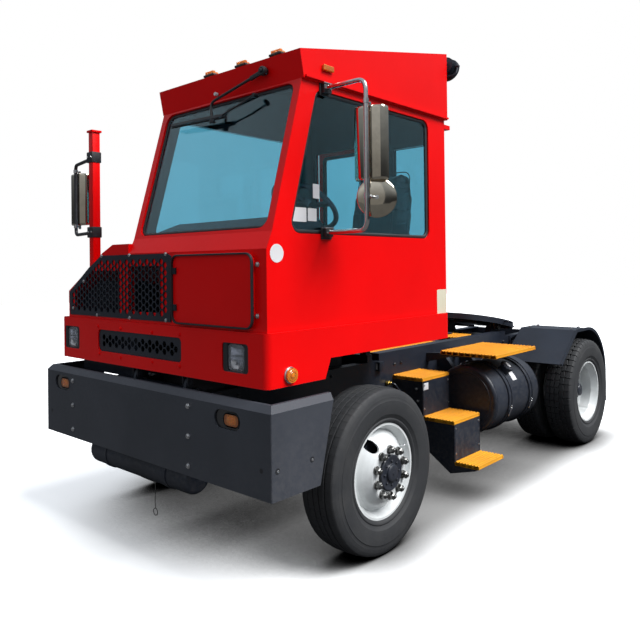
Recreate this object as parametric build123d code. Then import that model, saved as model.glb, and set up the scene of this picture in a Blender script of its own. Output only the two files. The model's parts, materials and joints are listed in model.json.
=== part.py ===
from build123d import *
from math import atan2, cos, degrees, hypot, pi, radians, sin, sqrt, tan
import os

# Terminal tractor: a one-seat cab set to the driver's side of a short two-axle chassis, an engine
# hood beside it, and a lifting fifth wheel over the driven rear axle. Millimetres, x towards the
# driver's side, y rearward from the front axle, z up from the ground.

# ---- running gear -------------------------------------------------------------------------------
wheelbase = 3353.0
tyre_diameter = 1036.0
tyre_width = 279.0
rim_diameter = 596.0
rim_wall = 9.0
front_track = 2094.0        # between the front tyres' centre planes
rear_track = 1846.0         # between the centres of the twin wheels
twin_spacing = 343.0
hub_radius = 118.0
stud_circle = 285.75
hand_hole_circle = 212.0    # radius to the two hand holes
hand_hole_radius = 38.0
hand_hole_angle = 124.0
front_disc_reach = 153.0    # the front wheel's mounting face, outside the rim's middle
spindle_radius = 35.0
spindle_clearance = 0.05
kingpin_x = 880.0
kingpin_radius = 20.0
arm_length = 200.0           # kingpin to the track rod's ball stud
ball_stud_radius = 9.0
pin_clearance = 0.05
rest_gap = 0.3              # between pieces of different bodies that rest on each other
swing_gap = 6.0             # between pieces that pass each other

# ---- frame --------------------------------------------------------------------------------------
frame_width = 864.0
rail_height = 254.0
rail_flange = 80.0
rail_wall = 10.0
rail_top = 1040.0
bumper_reach = 1021.0       # front axle to the bumper's face
rear_reach = 622.0          # rear axle to the end of the frame
side_beam_height = 58.0     # beams on the rails, with the deck plates between them
deck_spans = ((909.0, 1405.0), (1415.0, 1905.0))

# ---- bumper -------------------------------------------------------------------------------------
overall_width = 2438.0
bumper_bottom = 612.0
bumper_top = 1097.0
bumper_plate = 10.0
bumper_corner = 8.0
bumper_bevel = 37.0
bumper_flange = 52.0
lamp_height = 984.0
wing_top_end = -533.0       # the wings' rear edge slants between these two
wing_bottom_end = -657.0

# ---- cab and hood -------------------------------------------------------------------------------
cab_right = -228.0
cab_left = 1105.0
cab_wall = 40.0
cab_front = -935.0
cab_rear = 849.0
floor_bottom = 1290.0
cowl_height = 1905.0
screen_step = 95.0          # the cowl's edge to the windscreen's foot
screen_foot_y = -893.0
screen_rise = 867.0         # the windscreen's foot to the brow
brow_y = -650.0
roof_front = -680.0
roof_front_rise = 157.0     # above the brow
roof_rear_rise = 488.0
roof_lamps = (292.0, 595.0, 905.0)
firewall = -600.0
driver_x = 740.0            # the seat's middle
band_left = 1121.0
band_right = -1125.0
band_front = -951.0
band_rear = 865.0
band_bottom = 1159.0
band_step = 1275.0
band_top = 1455.0
band_wall = 16.0
band_corner = 40.0
hood_right = -1045.0
hood_rise = 65.0            # above the cowl
hood_shares = (0.37, 0.695, 0.897)   # heights of its bends, as shares of its own height
hood_wall = 30.0
louvre_count = 9
louvre_first = -560.0
louvre_pitch = 78.0
louvre_width = 38.0
grille_border = 36.0        # plain edge round the perforated plates
grille_pitch = 46.0
grille_web = 9.0
grille_thickness = 8.0
mesh_left = 367.0           # the lower mesh in the band
mesh_right = -600.0
mesh_bottom = 1238.0
mesh_top = 1387.0
tilt_y = -911.0             # the cab tips forward about this line
tilt_z = 1120.0
tilt_lugs = (-165.0, 378.0)
rest_posts = (-180.0, 387.0)

# ---- openings in the cab ------------------------------------------------------------------------
screen_margin = 52.0
sill_drop = 8.0             # side window's sill below the windscreen's foot
lintel_drop = 41.0          # and its top below the brow
side_window_rear = 633.0
window_radius = 65.0
glass_thickness = 6.0
door_left = 560.0           # rear doorway
door_right = -150.0
door_bottom = 1342.0
door_drop = 107.0           # the rear doorway's top below the brow
door_thickness = 30.0
door_travel = 520.0
door_face = 875.0           # outside the waist band, so that it slides past it
hatch_left = 1015.0         # front access door
hatch_right = 293.0
hatch_bottom = 1478.0
hatch_drop = 25.0           # below the cowl
hatch_thickness = 18.0      # laid over the cab's front, on a seal
hatch_radius = 55.0
hatch_lap = 34.0            # the door's lap over its opening
hinge_x = 281.0
hinge_inset = 91.0          # the two hinges' centres, in from the door's ends
hinge_pin = 5.0
pocket_depth = 120.0
mirror_reach = 292.0        # the driver's side loop, out from the cab
mirror_head = (178.0, 84.0, 415.0)
mirror_post = 60.0          # the kerb-side mirror's square post
seat_width = 520.0
seat_height = 420.0         # the cushion's underside above the floor
console_gap = 30.0          # between the seat and the console beside it
console_width = 140.0
console_height = 560.0
lever_rise = 160.0
pedals = ((170.0, 70.0), (-10.0, 110.0))   # (offset from the seat's middle, pad width)
pedal_height = 145.0

# ---- coupling -----------------------------------------------------------------------------------
boom_y = 1980.0
boom_z = 1030.0
boom_half = 300.0           # outer faces of the boom's arms
boom_arm = 70.0
pivot_radius = 30.0
foot_pin_radius = 18.0
trunnion_radius = 28.0
eye_pin_radius = 14.0
eye_bore = 30.0             # wide, because the linkage is open here
boom_deck = (2330.0, 2640.0)
coupler_y = 3140.0
coupler_z = 1140.0
coupler_tilt = 12.0
plate_half = 457.0
plate_front = 400.0
plate_rear = 400.0
plate_thickness = 14.0
plate_height = 70.0         # pivot to the plate's top
handle_reach = 60.0         # the jaw's pull handle, beyond the plate
throat_radius = 26.0
lift_foot_y = 2500.0
lift_foot_z = 700.0
lift_eye_y = 2960.0
lift_eye_z = 1010.0
lift_x = 184.0
barrel_radius = 46.0
lift_rod_radius = 25.0

# ---- tanks and steps ----------------------------------------------------------------------------
fuel_radius = 286.0
fuel_x = 839.0
fuel_z = 675.0
fuel_front = 1562.0
fuel_rear = 2383.0
air_radius = 100.0
air_y = -900.0
air_z = 556.0
step_front = 1091.0
step_rear = 1485.0
step_outer = overall_width / 2
step_depths = (206.0, 284.0, 297.0)
step_heights = (302.0, 608.0, 909.0)
step_thickness = 35.0
platform_front = 1500.0
platform_rear = 2240.0
platform_inner = 640.0
platform_outer = 1160.0
platform_top = 1080.0
fender_outer = 1190.0
fender_inner = 600.0
fender_wall = 8.0
fender_lip = 14.0
fender_top = 1140.0
fender_radius = 495.0
stack_foot = 1130.0
stack_bend = 2885.0

# ---- worked out from the above ------------------------------------------------------------------
wheel_radius = tyre_diameter / 2
rail_bottom = rail_top - rail_height
web_reach = frame_width / 2 - rail_wall
rail_outer = frame_width / 2
frame_front = -bumper_reach + bumper_plate
frame_rear = wheelbase + rear_reach
middle_y = (frame_rear - bumper_reach) / 2
deck_top = rail_top + side_beam_height
screen_foot_z = cowl_height + screen_step
brow_z = screen_foot_z + screen_rise
roof_front_z = brow_z + roof_front_rise
roof_rear_z = brow_z + roof_rear_rise
hood_top = cowl_height + hood_rise
side_window_bottom = screen_foot_z - sill_drop
side_window_top = brow_z - lintel_drop
door_top = brow_z - door_drop
hatch_top = cowl_height - hatch_drop
hinge_heights = (hatch_bottom + hinge_inset, hatch_top - hinge_inset)
floor_top = floor_bottom + cab_wall
hinge_y = cab_front - hatch_thickness - 6


def across(points, x0, x1):
    """A side outline of (y, z) points drawn out across the vehicle."""
    plane = Plane(origin=(x0, 0, 0), x_dir=(0, 1, 0), z_dir=(1, 0, 0))
    return extrude(plane * Polygon(*points, align=None), x1 - x0, dir=(1, 0, 0))


def along(points, y0, y1):
    """A front outline of (x, z) points drawn out rearward."""
    plane = Plane(origin=(0, y1, 0), x_dir=(1, 0, 0), z_dir=(0, -1, 0))
    return extrude(plane * Polygon(*points, align=None), y1 - y0, dir=(0, -1, 0))


def upright(points, z0, z1):
    """A plan outline of (x, y) points drawn upward."""
    return extrude(Plane.XY.offset(z0) * Polygon(*points, align=None), z1 - z0, dir=(0, 0, 1))


def block(x0, x1, y0, y1, z0, z1):
    centre = Pos((x0 + x1) / 2, (y0 + y1) / 2, (z0 + z1) / 2)
    return centre * Box(abs(x1 - x0), abs(y1 - y0), abs(z1 - z0))


def bar(start, end, radius):
    """A round bar between two points."""
    a, b = Vector(start), Vector(end)
    plane = Plane(origin=a, z_dir=(b - a).normalized())
    return extrude(plane * Circle(radius), (b - a).length)


def across_bar(x0, x1, y, z, radius):
    return bar((x0, y, z), (x1, y, z), radius)


def mirrored(shape):
    return mirror(shape, about=Plane.YZ)


def both(shape):
    return shape + mirrored(shape)


def join(shapes):
    shapes = list(shapes)
    return shapes[0].fuse(*shapes[1:]) if len(shapes) > 1 else shapes[0]


# ---- chassis ------------------------------------------------------------------------------------
def chassis_frame():
    """Two channel rails, their crossmembers, the deck beams and the brackets that carry others."""
    inner = rail_outer - rail_flange
    channel = [(rail_outer, rail_bottom), (rail_outer, rail_top), (inner, rail_top),
               (inner, rail_top - rail_wall), (rail_outer - rail_wall, rail_top - rail_wall),
               (rail_outer - rail_wall, rail_bottom + rail_wall), (inner, rail_bottom + rail_wall),
               (inner, rail_bottom)]
    frame = both(along(channel, frame_front, frame_rear))
    web = rail_outer - rail_wall
    for y in (frame_front + 90, -700.0, 700.0, 1500.0):
        low = [(y - 60, rail_bottom + 20), (y + 60, rail_bottom + 20), (y + 60, rail_bottom + 30),
               (y - 50, rail_bottom + 30), (y - 50, rail_top - 30), (y - 60, rail_top - 30)]
        frame += across(low, -web, web)
    pivot_plate = [(boom_y - 70, rail_bottom + 10), (boom_y + 70, rail_bottom + 10),
                   (boom_y + 45, boom_z + 45), (boom_y - 45, boom_z + 45)]
    seat = block(boom_half + swing_gap, web, boom_y - 45, boom_y + 45, rail_bottom + 10, rail_top)
    frame += both(across(pivot_plate, boom_half + swing_gap, inner - 10) + seat)
    frame += across_bar(10 - inner, inner - 10, boom_y, boom_z, pivot_radius)
    frame += across_bar(-web, web, lift_foot_y - 120, lift_foot_z + 150, 45)
    foot = [(lift_foot_y - 160, lift_foot_z + 180), (lift_foot_y - 80, lift_foot_z + 180),
            (lift_foot_y + 42, lift_foot_z + 20), (lift_foot_y + 25, lift_foot_z - 35),
            (lift_foot_y - 35, lift_foot_z - 30)]
    for side in (-1, 1):
        for offset_x in (-1, 1):
            x = side * lift_x + offset_x * (barrel_radius + swing_gap + 6)
            frame += across(foot, x - 6, x + 6)
        reach = barrel_radius + swing_gap + 12
        frame += across_bar(side * lift_x - reach, side * lift_x + reach, lift_foot_y, lift_foot_z,
                            foot_pin_radius)
    frame += block(-web, web, frame_rear - 22, frame_rear - 10, rail_bottom + 5, rail_top - 5)
    frame += block(-rail_outer, rail_outer, tilt_y - 40, tilt_y + 45, rail_top, rail_top + 40)
    for x in tilt_lugs:
        ear = [(tilt_y - 30, rail_top + 40), (tilt_y + 30, rail_top + 40), (tilt_y + 14, tilt_z + 16),
               (tilt_y - 14, tilt_z + 16)]
        frame += across(ear, x - 12, x + 12)
        frame += across_bar(x - 34, x + 34, tilt_y, tilt_z, 12)
    frame += block(-rail_outer, rail_outer, 760, 820, rail_top, deck_top)
    for x in rest_posts:
        frame += block(x - 30, x + 30, 762, 818, deck_top, floor_bottom - rest_gap)
    return frame


def deck_beams():
    """The beams laid on the rails, tied across under the deck plates."""
    inner = rail_outer - rail_flange - 10
    beams = both(block(inner, rail_outer, deck_spans[0][0], coupler_y - 30, rail_top, deck_top))
    for y in (deck_spans[0][0] + 30, deck_spans[1][0] - 5, deck_spans[1][1] - 30):
        beams += block(-inner - 1, inner + 1, y - 30, y + 30, rail_top, deck_top - step_thickness)
    return beams


def bumper_section():
    """The bumper's section as (inset from the face, height) points, with its bevelled top flange."""
    h, t, b = bumper_top - bumper_bottom, bumper_plate, bumper_bevel
    return [(0, 0), (0, h - b), (b * 0.8, h), (bumper_flange, h), (bumper_flange, h - t),
            (b * 0.8 + t * 0.4, h - t), (t, h - b - t * 0.4), (t, 0)]


def front_bumper():
    """A folded bumper with mitred flanges and slanted wings, open at the back."""
    half, face, deep = overall_width / 2, -bumper_reach, bumper_flange + 20
    section = bumper_section()
    low, high = bumper_bottom - 10, bumper_top + 10
    front = across([(face + d, bumper_bottom + h) for d, h in section], -half, half)
    front &= upright([(-half, face), (half, face), (half - deep, face + deep), (deep - half, face + deep)],
                     low, high)
    wing = along([(half - d, bumper_bottom + h) for d, h in section], face, wing_top_end + 30)
    wing &= upright([(half, face), (half, 0), (half - deep, 0), (half - deep, face + deep)], low, high)
    bumper = front + both(wing)
    folds = [edge for edge in bumper.edges().filter_by(Axis.Z)
             if abs(abs(edge.center().X) - half) < 1 and abs(edge.center().Y - face) < 1]
    bumper = fillet(folds, bumper_corner)
    slope = (wing_top_end - wing_bottom_end) / (bumper_top - bumper_bottom)
    slant = [(wing_bottom_end - 50 * slope, bumper_bottom - 50),
             (wing_top_end + 50 * slope, bumper_top + 50), (300, bumper_top + 50),
             (300, bumper_bottom - 50)]
    bumper -= across(slant, -half - 10, half + 10)
    for left, right in lamp_slots():
        slot = Plane.XZ.offset(bumper_reach + 5) * Pos((left + right) / 2, lamp_height) * \
            SlotOverall(right - left, 104)
        bumper -= extrude(slot, -40)
    return bumper


def lamp_slots():
    return ((762.0, 980.0), (-1090.0, -872.0))


def bumper_lamps():
    lamps = []
    for left, right in lamp_slots():
        pocket = Plane.XZ.offset(bumper_reach - bumper_plate) * Pos((left + right) / 2, lamp_height) * \
            SlotOverall(right - left + 30, 124)
        back = extrude(pocket, -18)
        lens = Plane.XZ.offset(bumper_reach - bumper_plate) * Pos((left + right) / 2 + 30, lamp_height) * \
            SlotOverall(130, 76)
        lamps.append(back + extrude(lens, 5))
    return Compound(children=lamps)


def air_tank():
    """The cross-mounted air reservoir under the bumper, with its straps and drain cord ring."""
    tank = across_bar(-640, 455, air_y, air_z, air_radius)
    tank = fillet(tank.edges(), 30)
    for x in (-440.0, 240.0):
        hoop = Plane(origin=(x - 22, air_y, air_z), z_dir=(1, 0, 0)) * \
            (Circle(air_radius + 5) - Circle(air_radius - 1))
        tank += extrude(hoop, 44)
    for side in (-1, 1):
        x = side * (rail_outer - rail_wall / 2)
        hanger = [(air_y - 60, rail_bottom), (air_y + 60, rail_bottom), (air_y + 60, air_z),
                  (air_y - 60, air_z)]
        tank += across(hanger, x - rail_wall / 2, x + rail_wall / 2)
    return tank


# ---- front axle ---------------------------------------------------------------------------------
def front_axle():
    """A drop-beam axle on two leaf springs, with the kingpins fixed in its ends."""
    z = wheel_radius
    top = z - 78
    shape = [(-kingpin_x + 55, z - 50), (-kingpin_x + 55, z + 50), (-kingpin_x + 150, z + 50),
             (-kingpin_x + 300, top), (kingpin_x - 300, top), (kingpin_x - 150, z + 50),
             (kingpin_x - 55, z + 50), (kingpin_x - 55, z - 50), (kingpin_x - 170, z - 50),
             (kingpin_x - 320, top - 100), (-kingpin_x + 320, top - 100), (-kingpin_x + 170, z - 50)]
    beam = along(shape, -48, 48)
    for side in (-1, 1):
        beam -= along([(side * (kingpin_x - 200), z - 20), (side * (kingpin_x - 330), top - 70),
                       (side * 20, top - 70), (side * 20, top - 30),
                       (side * (kingpin_x - 290), top - 30)], -60, -14)
        beam -= along([(side * (kingpin_x - 200), z - 20), (side * (kingpin_x - 330), top - 70),
                       (side * 20, top - 70), (side * 20, top - 30),
                       (side * (kingpin_x - 290), top - 30)], 14, 60)
        eye = Plane.XY.offset(z - 62) * Pos(side * kingpin_x, 0) * Circle(58)
        beam += extrude(eye, 124)
        pin = Plane.XY.offset(z - 125) * Pos(side * kingpin_x, 0) * Circle(kingpin_radius)
        beam += extrude(pin, 250)
    spring_x = rail_outer - 45
    seat = top
    leaves = []
    for side in (-1, 1):
        for n in range(5):
            half_length = 640 - n * 105
            sag = 130 * (1 - (half_length / 640.0) ** 2)
            low = seat + n * 13
            arc = [(-half_length, low + 13 + 88 * (half_length / 640.0) ** 2), (0, low + 13),
                   (half_length, low + 13 + 88 * (half_length / 640.0) ** 2)]
            arc_low = [(y, zz - 13) for y, zz in arc]
            outer = ThreePointArc(*arc)
            inner = ThreePointArc(*arc_low)
            plane = Plane(origin=(side * spring_x - 38, 0, 0), x_dir=(0, 1, 0), z_dir=(1, 0, 0))
            edge = make_face([outer, Line(outer @ 1, inner @ 1), inner, Line(inner @ 0, outer @ 0)])
            leaves.append(extrude(plane * edge, 76))
        leaves.append(block(side * spring_x - 42, side * spring_x + 42, -60, 60, seat - 8, seat + 80))
        for y in (-640, 640):
            leaves.append(across_bar(side * spring_x - 40, side * spring_x + 40, y, seat + 88, 24))
            leaves.append(across([(y - 30, rail_bottom), (y + 30, rail_bottom),
                                  (y + 22, seat + 70), (y - 22, seat + 70)],
                                 side * spring_x - 40, side * spring_x + 40))
    return join([beam] + leaves)


def knuckle(side):
    """The steering knuckle: two ears round the kingpin, the spindle and the tie-rod arm."""
    z = wheel_radius
    bore = kingpin_radius + pin_clearance
    body = None
    for low, high in ((z + 62 + swing_gap, z + 122), (z - 122, z - 62 - swing_gap)):
        ear = extrude(Plane.XY.offset(low) * Pos(side * kingpin_x, 0) * Circle(52), high - low)
        body = ear if body is None else body + ear
    face = side * (kingpin_x + 66)
    for low, high in ((z + 62 + swing_gap, z + 122), (z - 122, z - 62 - swing_gap)):
        body += block(min(side * kingpin_x, face), max(side * kingpin_x, face), -45, 45, low, high)
    body += block(min(face, side * (kingpin_x + 96)), max(face, side * (kingpin_x + 96)),
                  -70, 70, z - 122, z + 122)
    end = side * (front_track / 2 + 62)
    body += across_bar(side * (kingpin_x + 84), end, 0, z, spindle_radius)
    x = side * kingpin_x
    arm = block(x - 17, x + 17, 30, arm_length, z - 122, z - 98)
    arm += extrude(Plane.XY.offset(z - 122) * Pos(x, arm_length) * Circle(17), 24)
    stud = extrude(Plane.XY.offset(z - 165) * Pos(x, arm_length) * Circle(ball_stud_radius), 50)
    body += arm + stud
    bore_cut = Plane.XY.offset(z - 150) * Pos(side * kingpin_x, 0) * Circle(bore)
    body -= extrude(bore_cut, 300)
    return body


def tie_rod():
    """The track rod between the two steering arms, with an eye round each ball stud."""
    z = wheel_radius - 122 - swing_gap - 18
    rod = across_bar(-kingpin_x, kingpin_x, arm_length, z, 15)
    for side in (-1, 1):
        rod += extrude(Plane.XY.offset(z - 18) * Pos(side * kingpin_x, arm_length) * Circle(26), 36)
    for side in (-1, 1):
        bore = Plane.XY.offset(z - 30) * Pos(side * kingpin_x, arm_length) * \
            Circle(ball_stud_radius + pin_clearance)
        rod -= extrude(bore, 60)
    return rod


# ---- wheels -------------------------------------------------------------------------------------
def tyre_at(x):
    """A road tyre as one closed ring about the axle line."""
    half, outer, inner = tyre_width / 2, tyre_diameter / 2, rim_diameter / 2 - 12
    profile = [(-half * 0.70, inner), (-half * 0.84, inner + 30), (-half, (outer + inner) / 2 + 8),
               (-half * 0.95, outer - 62), (-half * 0.83, outer - 20), (-half * 0.72, outer - 6),
               (0, outer), (half * 0.72, outer - 6), (half * 0.83, outer - 20),
               (half * 0.95, outer - 62), (half, (outer + inner) / 2 + 8), (half * 0.84, inner + 30),
               (half * 0.70, inner)]
    return Pos(x, 0, wheel_radius) * revolve(Polygon(*profile, align=None), Axis.X, 360)


def rim_at(x, side, disc):
    """A steel disc wheel: a flanged rim barrel, and a disc given as (reach, radius) points of its
    outer face, from the hub outward; reach runs to the given side of the rim's middle."""
    half, r = tyre_width / 2 * 0.80, rim_diameter / 2
    barrel = [(-half, r), (-half, r - 14), (-half + 20, r - 26), (-half + 60, r - 52),
              (half - 60, r - 52), (half - 20, r - 26), (half, r - 14), (half, r),
              (half - 12, r - 12.5), (half - 40, r - 12.5), (-half + 40, r - 12.5),
              (-half + 12, r - 12.5)]
    ring = revolve(Polygon(*barrel, align=None), Axis.X, 360)
    outer = [(side * reach, radius) for reach, radius in disc]
    inner = [(side * (reach - rim_wall), radius - rim_wall * 0.4) for reach, radius in reversed(disc)]
    ring += revolve(Polygon(*outer, *inner, align=None), Axis.X, 360)
    for place in PolarLocations(hand_hole_circle, 2, start_angle=hand_hole_angle):
        ring -= extrude(Plane.YZ.offset(-200) * place * Circle(hand_hole_radius), 400)
    return Pos(x, 0, wheel_radius) * ring


def front_rim(side):
    """The steered wheel's rim, its disc bulged outward, with its hub, studs and brake drum."""
    x, r = side * front_track / 2, rim_diameter / 2
    deep = front_disc_reach
    wheel = rim_at(x, side, [(deep, hub_radius - 12), (deep, hub_radius + 42), (deep - 6, hub_radius + 54),
                             (deep - 26, hand_hole_circle - 20), (deep - 52, hand_hole_circle + 3),
                             (deep - 76, r - 66), (deep - 92, r - 44)])
    face, drum_end = x + side * deep, x + side * 55
    wheel += across_bar(x - side * 65, face + side * 10, 0, wheel_radius, hub_radius - 8.0)
    back = face - side * rim_wall
    wheel += across_bar(back - side * 20, back, 0, wheel_radius, hub_radius + 36)
    wheel += across_bar(face, face + side * 26, 0, wheel_radius, 45)
    wheel += join(across_bar(face - side * rim_wall, face + side * 32, y, z, 17) for y, z in stud_places())
    drum = across_bar(side * (kingpin_x + 96 + swing_gap), drum_end, 0, wheel_radius, 200)
    drum -= across_bar(side * (kingpin_x + 96), drum_end - side * 18, 0, wheel_radius, 188)
    wheel += drum
    bore = across_bar(side * (kingpin_x + 70), side * (front_track / 2 + 62 + 6), 0, wheel_radius,
                      spindle_radius + spindle_clearance)
    return wheel - bore


def stud_places():
    """The ten studs' (y, z) places round an axle line at y 0."""
    for n in range(10):
        angle = 2 * pi * (n + 0.5) / 10
        yield stud_circle / 2 * cos(angle), wheel_radius + stud_circle / 2 * sin(angle)


def rear_rims(side):
    """Both rims of a twin wheel, back to back on one hub and drum."""
    middle = side * rear_track / 2
    reach = twin_spacing / 2 - 10
    r = rim_diameter / 2
    disc = [(reach, hub_radius - 8), (reach, hub_radius + 60), (reach - 105, r - 62), (reach - 105, r - 45)]
    outer = rim_at(middle + side * twin_spacing / 2, -side, disc)
    inner = rim_at(middle - side * twin_spacing / 2, side, disc)
    hub = across_bar(middle - side * 60, middle + side * 150, 0, wheel_radius, hub_radius - 8)
    hub += across_bar(middle - side * 12, middle + side * 12, 0, wheel_radius, hub_radius + 50)
    drum = across_bar(middle - side * 230, middle, 0, wheel_radius, 205)
    drum -= across_bar(middle - side * 231, middle - side * 15, 0, wheel_radius, 192)
    wheel = outer + inner + hub + drum
    wheel += join(across_bar(middle, middle + side * 46, y, z, 17) for y, z in stud_places())
    bore = across_bar(middle - side * 240, middle + side * 120, 0, wheel_radius,
                      spindle_radius + spindle_clearance)
    return Pos(0, wheelbase, 0) * (wheel - bore)


# ---- rear axle, engine, drive -------------------------------------------------------------------
def rear_axle():
    """The drive axle, bolted solid to the rails, with its spindles and the propeller shaft."""
    z = wheel_radius
    inner_end = rear_track / 2 - 232 - swing_gap
    tube = across_bar(-inner_end, inner_end, wheelbase, z, 78)
    spindles = across_bar(-(rear_track / 2 + 118), rear_track / 2 + 118, wheelbase, z, spindle_radius)
    bowl = Pos(0, wheelbase, z) * Sphere(205)
    bowl = bowl & block(-150, 150, wheelbase - 210, wheelbase + 210, z - 210, z + 210)
    nose = bar((0, wheelbase - 150, z), (0, wheelbase - 330, z + 12), 95)
    shaft = bar((0, wheelbase - 320, z + 12), (0, 565.0, 740), 48)
    axle = tube + spindles + bowl + nose + shaft
    x = rail_outer - rail_flange / 2
    saddle = [(wheelbase - 130, rail_bottom), (wheelbase + 130, rail_bottom), (wheelbase + 75, z - 60),
              (wheelbase - 75, z - 60)]
    axle += both(across(saddle, x - 34, x + 34))
    return axle


def engine_block():
    inner = rail_outer - rail_flange - 15
    outline = [(-inner, 700), (inner, 700), (inner, floor_bottom - 40), (cab_right - 14, floor_bottom - 40),
               (cab_right - 14, 1690), (-610, 1690), (-610, rail_top + 8), (-inner, rail_top + 8)]
    web = rail_outer - rail_wall
    return along(outline, -600, 560) + block(-web, web, 100, 200, 800, 840)


def radiator():
    core = along([(-970, 1070), (-970, 1600), (-740, 1720), (-252, 1720), (-252, 1070)], -860, -775)
    return core + block(-rail_outer, -rail_outer + 60, -860, -775, rail_top, 1071)


def fuel_tank():
    tank = bar((fuel_x, fuel_front, fuel_z), (fuel_x, fuel_rear, fuel_z), fuel_radius)
    tank = fillet(tank.edges(), 28)
    for y in (fuel_front + 240, fuel_rear - 190):
        hoop = Plane(origin=(fuel_x, y - 28, fuel_z), z_dir=(0, 1, 0)) * \
            (Circle(fuel_radius + 5) - Circle(fuel_radius - 1))
        tank += extrude(hoop, 56)
        cradle = [(rail_outer, rail_bottom + 20), (rail_outer, rail_top - 30),
                  (rail_outer + 60, rail_top - 30), (fuel_x - 150, fuel_z + 100),
                  (fuel_x - 200, fuel_z - 150), (rail_outer + 60, rail_bottom + 20)]
        tank += along(cradle, y - 25, y + 25)
    neck = Vector(fuel_x + fuel_radius * sin(radians(40)), fuel_front + 330,
                  fuel_z + fuel_radius * cos(radians(40)))
    out = Vector(sin(radians(40)), 0, cos(radians(40)))
    tank += bar(neck - out * 12, neck + out * 38, 48)
    return tank


def step_edges():
    """Inner and outer x of each tread, from the lowest up."""
    outer = step_outer
    edges = []
    for depth in step_depths:
        edges.append((outer - depth, outer))
        outer -= depth
    return edges


def step_frame():
    """The black stepped carrier of the treads and the platform's brackets."""
    t = step_thickness
    (x1, x0), (x2, _), (x3, _) = step_edges()
    low, mid, high = step_heights
    outline = [(rail_outer, high - t), (x2, high - t), (x2, mid - t), (x1, mid - t), (x1, low - t),
               (x0 - 30, low - t), (x0 - 30, low - t - 12), (x1 - 40, low - t - 70),
               (x2 - 60, mid - t - 170), (rail_outer, rail_bottom + 20)]
    carrier = along(outline, step_front, step_rear)
    hollow = [(rail_outer + 10, high - t - 8), (x2 - 6, high - t - 8), (x2 - 6, mid - t - 8),
              (x1 - 6, mid - t - 8), (x1 - 6, low - t - 90), (x2 - 52, mid - t - 260),
              (rail_outer + 10, rail_bottom - 20)]
    carrier -= along(hollow, step_front + 6, step_rear - 6)
    for y in (platform_front + 120, platform_rear - 160):
        arm = [(rail_outer, rail_top - 90), (rail_outer, rail_top - 10),
               (platform_inner - 10, platform_top - t), (platform_outer - 30, platform_top - t),
               (platform_outer - 30, platform_top - t - 12), (platform_inner + 40, platform_top - t - 30)]
        carrier += along(arm, y - 20, y + 20)
    return carrier


def tread(x0, x1, y0, y1, top):
    """A grip tread with ribs running outward."""
    pitch = 49.0
    count = max(2, round((y1 - y0) / pitch))
    step = (y1 - y0) / count
    points = [(y0, top - step_thickness), (y0, top - 8)]
    for n in range(count):
        a = y0 + n * step
        points += [(a + step * 0.12, top), (a + step * 0.88, top), (a + step, top - 8)]
    points.append((y1, top - step_thickness))
    return across(points, x0, x1)


def step_treads():
    pieces = [tread(x0, x1, step_front, step_rear, top)
              for (x0, x1), top in zip(step_edges(), step_heights)]
    pieces.append(tread(platform_inner, platform_outer, platform_front, platform_rear, platform_top))
    inner = rail_outer - rail_flange - 10
    for y0, y1 in deck_spans:
        pieces.append(tread(-inner, inner, y0, y1, deck_top))
    return Compound(children=pieces)


def fender(side):
    """A rear mudguard bent from sheet: flat top, slanted front, rounded back, and two stays."""
    top, r = fender_top, fender_radius
    front = [(wheelbase - 608, 850), (wheelbase - 213, top), (wheelbase + 70, top)]
    back_y = wheelbase + 70 + r
    outer = Polyline(*front) + JernArc((wheelbase + 70, top), (1, 0), r, -90) + \
        Line((back_y, top - r), (back_y, 330))
    sheet = trace(outer, line_width=fender_wall)
    plane = Plane(origin=(fender_inner, 0, 0), x_dir=(0, 1, 0), z_dir=(1, 0, 0))
    guard = extrude(plane * sheet, fender_outer - fender_inner, dir=(1, 0, 0))
    lip_plane = Plane(origin=(fender_outer - fender_wall, 0, 0), x_dir=(0, 1, 0), z_dir=(1, 0, 0))
    lip = trace(outer, line_width=2 * fender_lip)
    guard += extrude(lip_plane * lip, fender_wall, dir=(1, 0, 0))
    stay_z = top - fender_wall / 2 - 15
    for y in (wheelbase - 120, wheelbase + 50):
        guard += across_bar(fender_inner + 30, fender_inner + 300, y, stay_z, 16)
        guard += bar((rail_outer + 11, y, rail_top - 40), (fender_inner + 34, y, stay_z), 16)
        guard += block(rail_outer, rail_outer + 12, y - 40, y + 40, rail_top - 90, rail_top - 4)
    return guard if side > 0 else mirrored(guard)


def tail_lamps():
    lamps = []
    for side in (-1, 1):
        x0, x1 = sorted((side * rail_outer, side * 590))
        lamps.append(block(x0, x1, frame_rear - 60, frame_rear, 820, 900))
    return Compound(children=lamps)


def battery_box():
    box = block(-760, -rail_outer, 900, 1500, 640, 960)
    box = box + block(-775, -rail_outer - 60, 885, 1515, 960, 985)
    return box


def exhaust_stack():
    """The upright silencer and tailpipe behind the hood."""
    x, y = -640.0, cab_rear + 190
    can = bar((x, y, stack_foot), (x, y, stack_foot + 1020), 120)
    can = fillet(can.edges(), 20)
    pipe = bar((x, y, stack_foot + 1010), (x, y, stack_bend), 62)
    elbow = bar((x, y, stack_bend), (x, y + 90, stack_bend + 140), 62) + Pos(x, y, stack_bend) * Sphere(64)
    foot = block(x - 60, -rail_outer, y - 40, y + 40, rail_top - 40, stack_foot + 10)
    return can + pipe + elbow + foot


# ---- cab ----------------------------------------------------------------------------------------
def rake(z):
    """How far back the windscreen's plane lies at a height."""
    return screen_foot_y + (z - screen_foot_z) * (brow_y - screen_foot_y) / (brow_z - screen_foot_z)


def side_outline():
    return [(cab_front, band_top), (cab_front, cowl_height), (screen_foot_y, screen_foot_z),
            (brow_y, brow_z), (cab_rear, brow_z), (cab_rear, floor_bottom),
            (firewall - cab_wall, floor_bottom), (firewall - cab_wall, band_top)]


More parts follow.
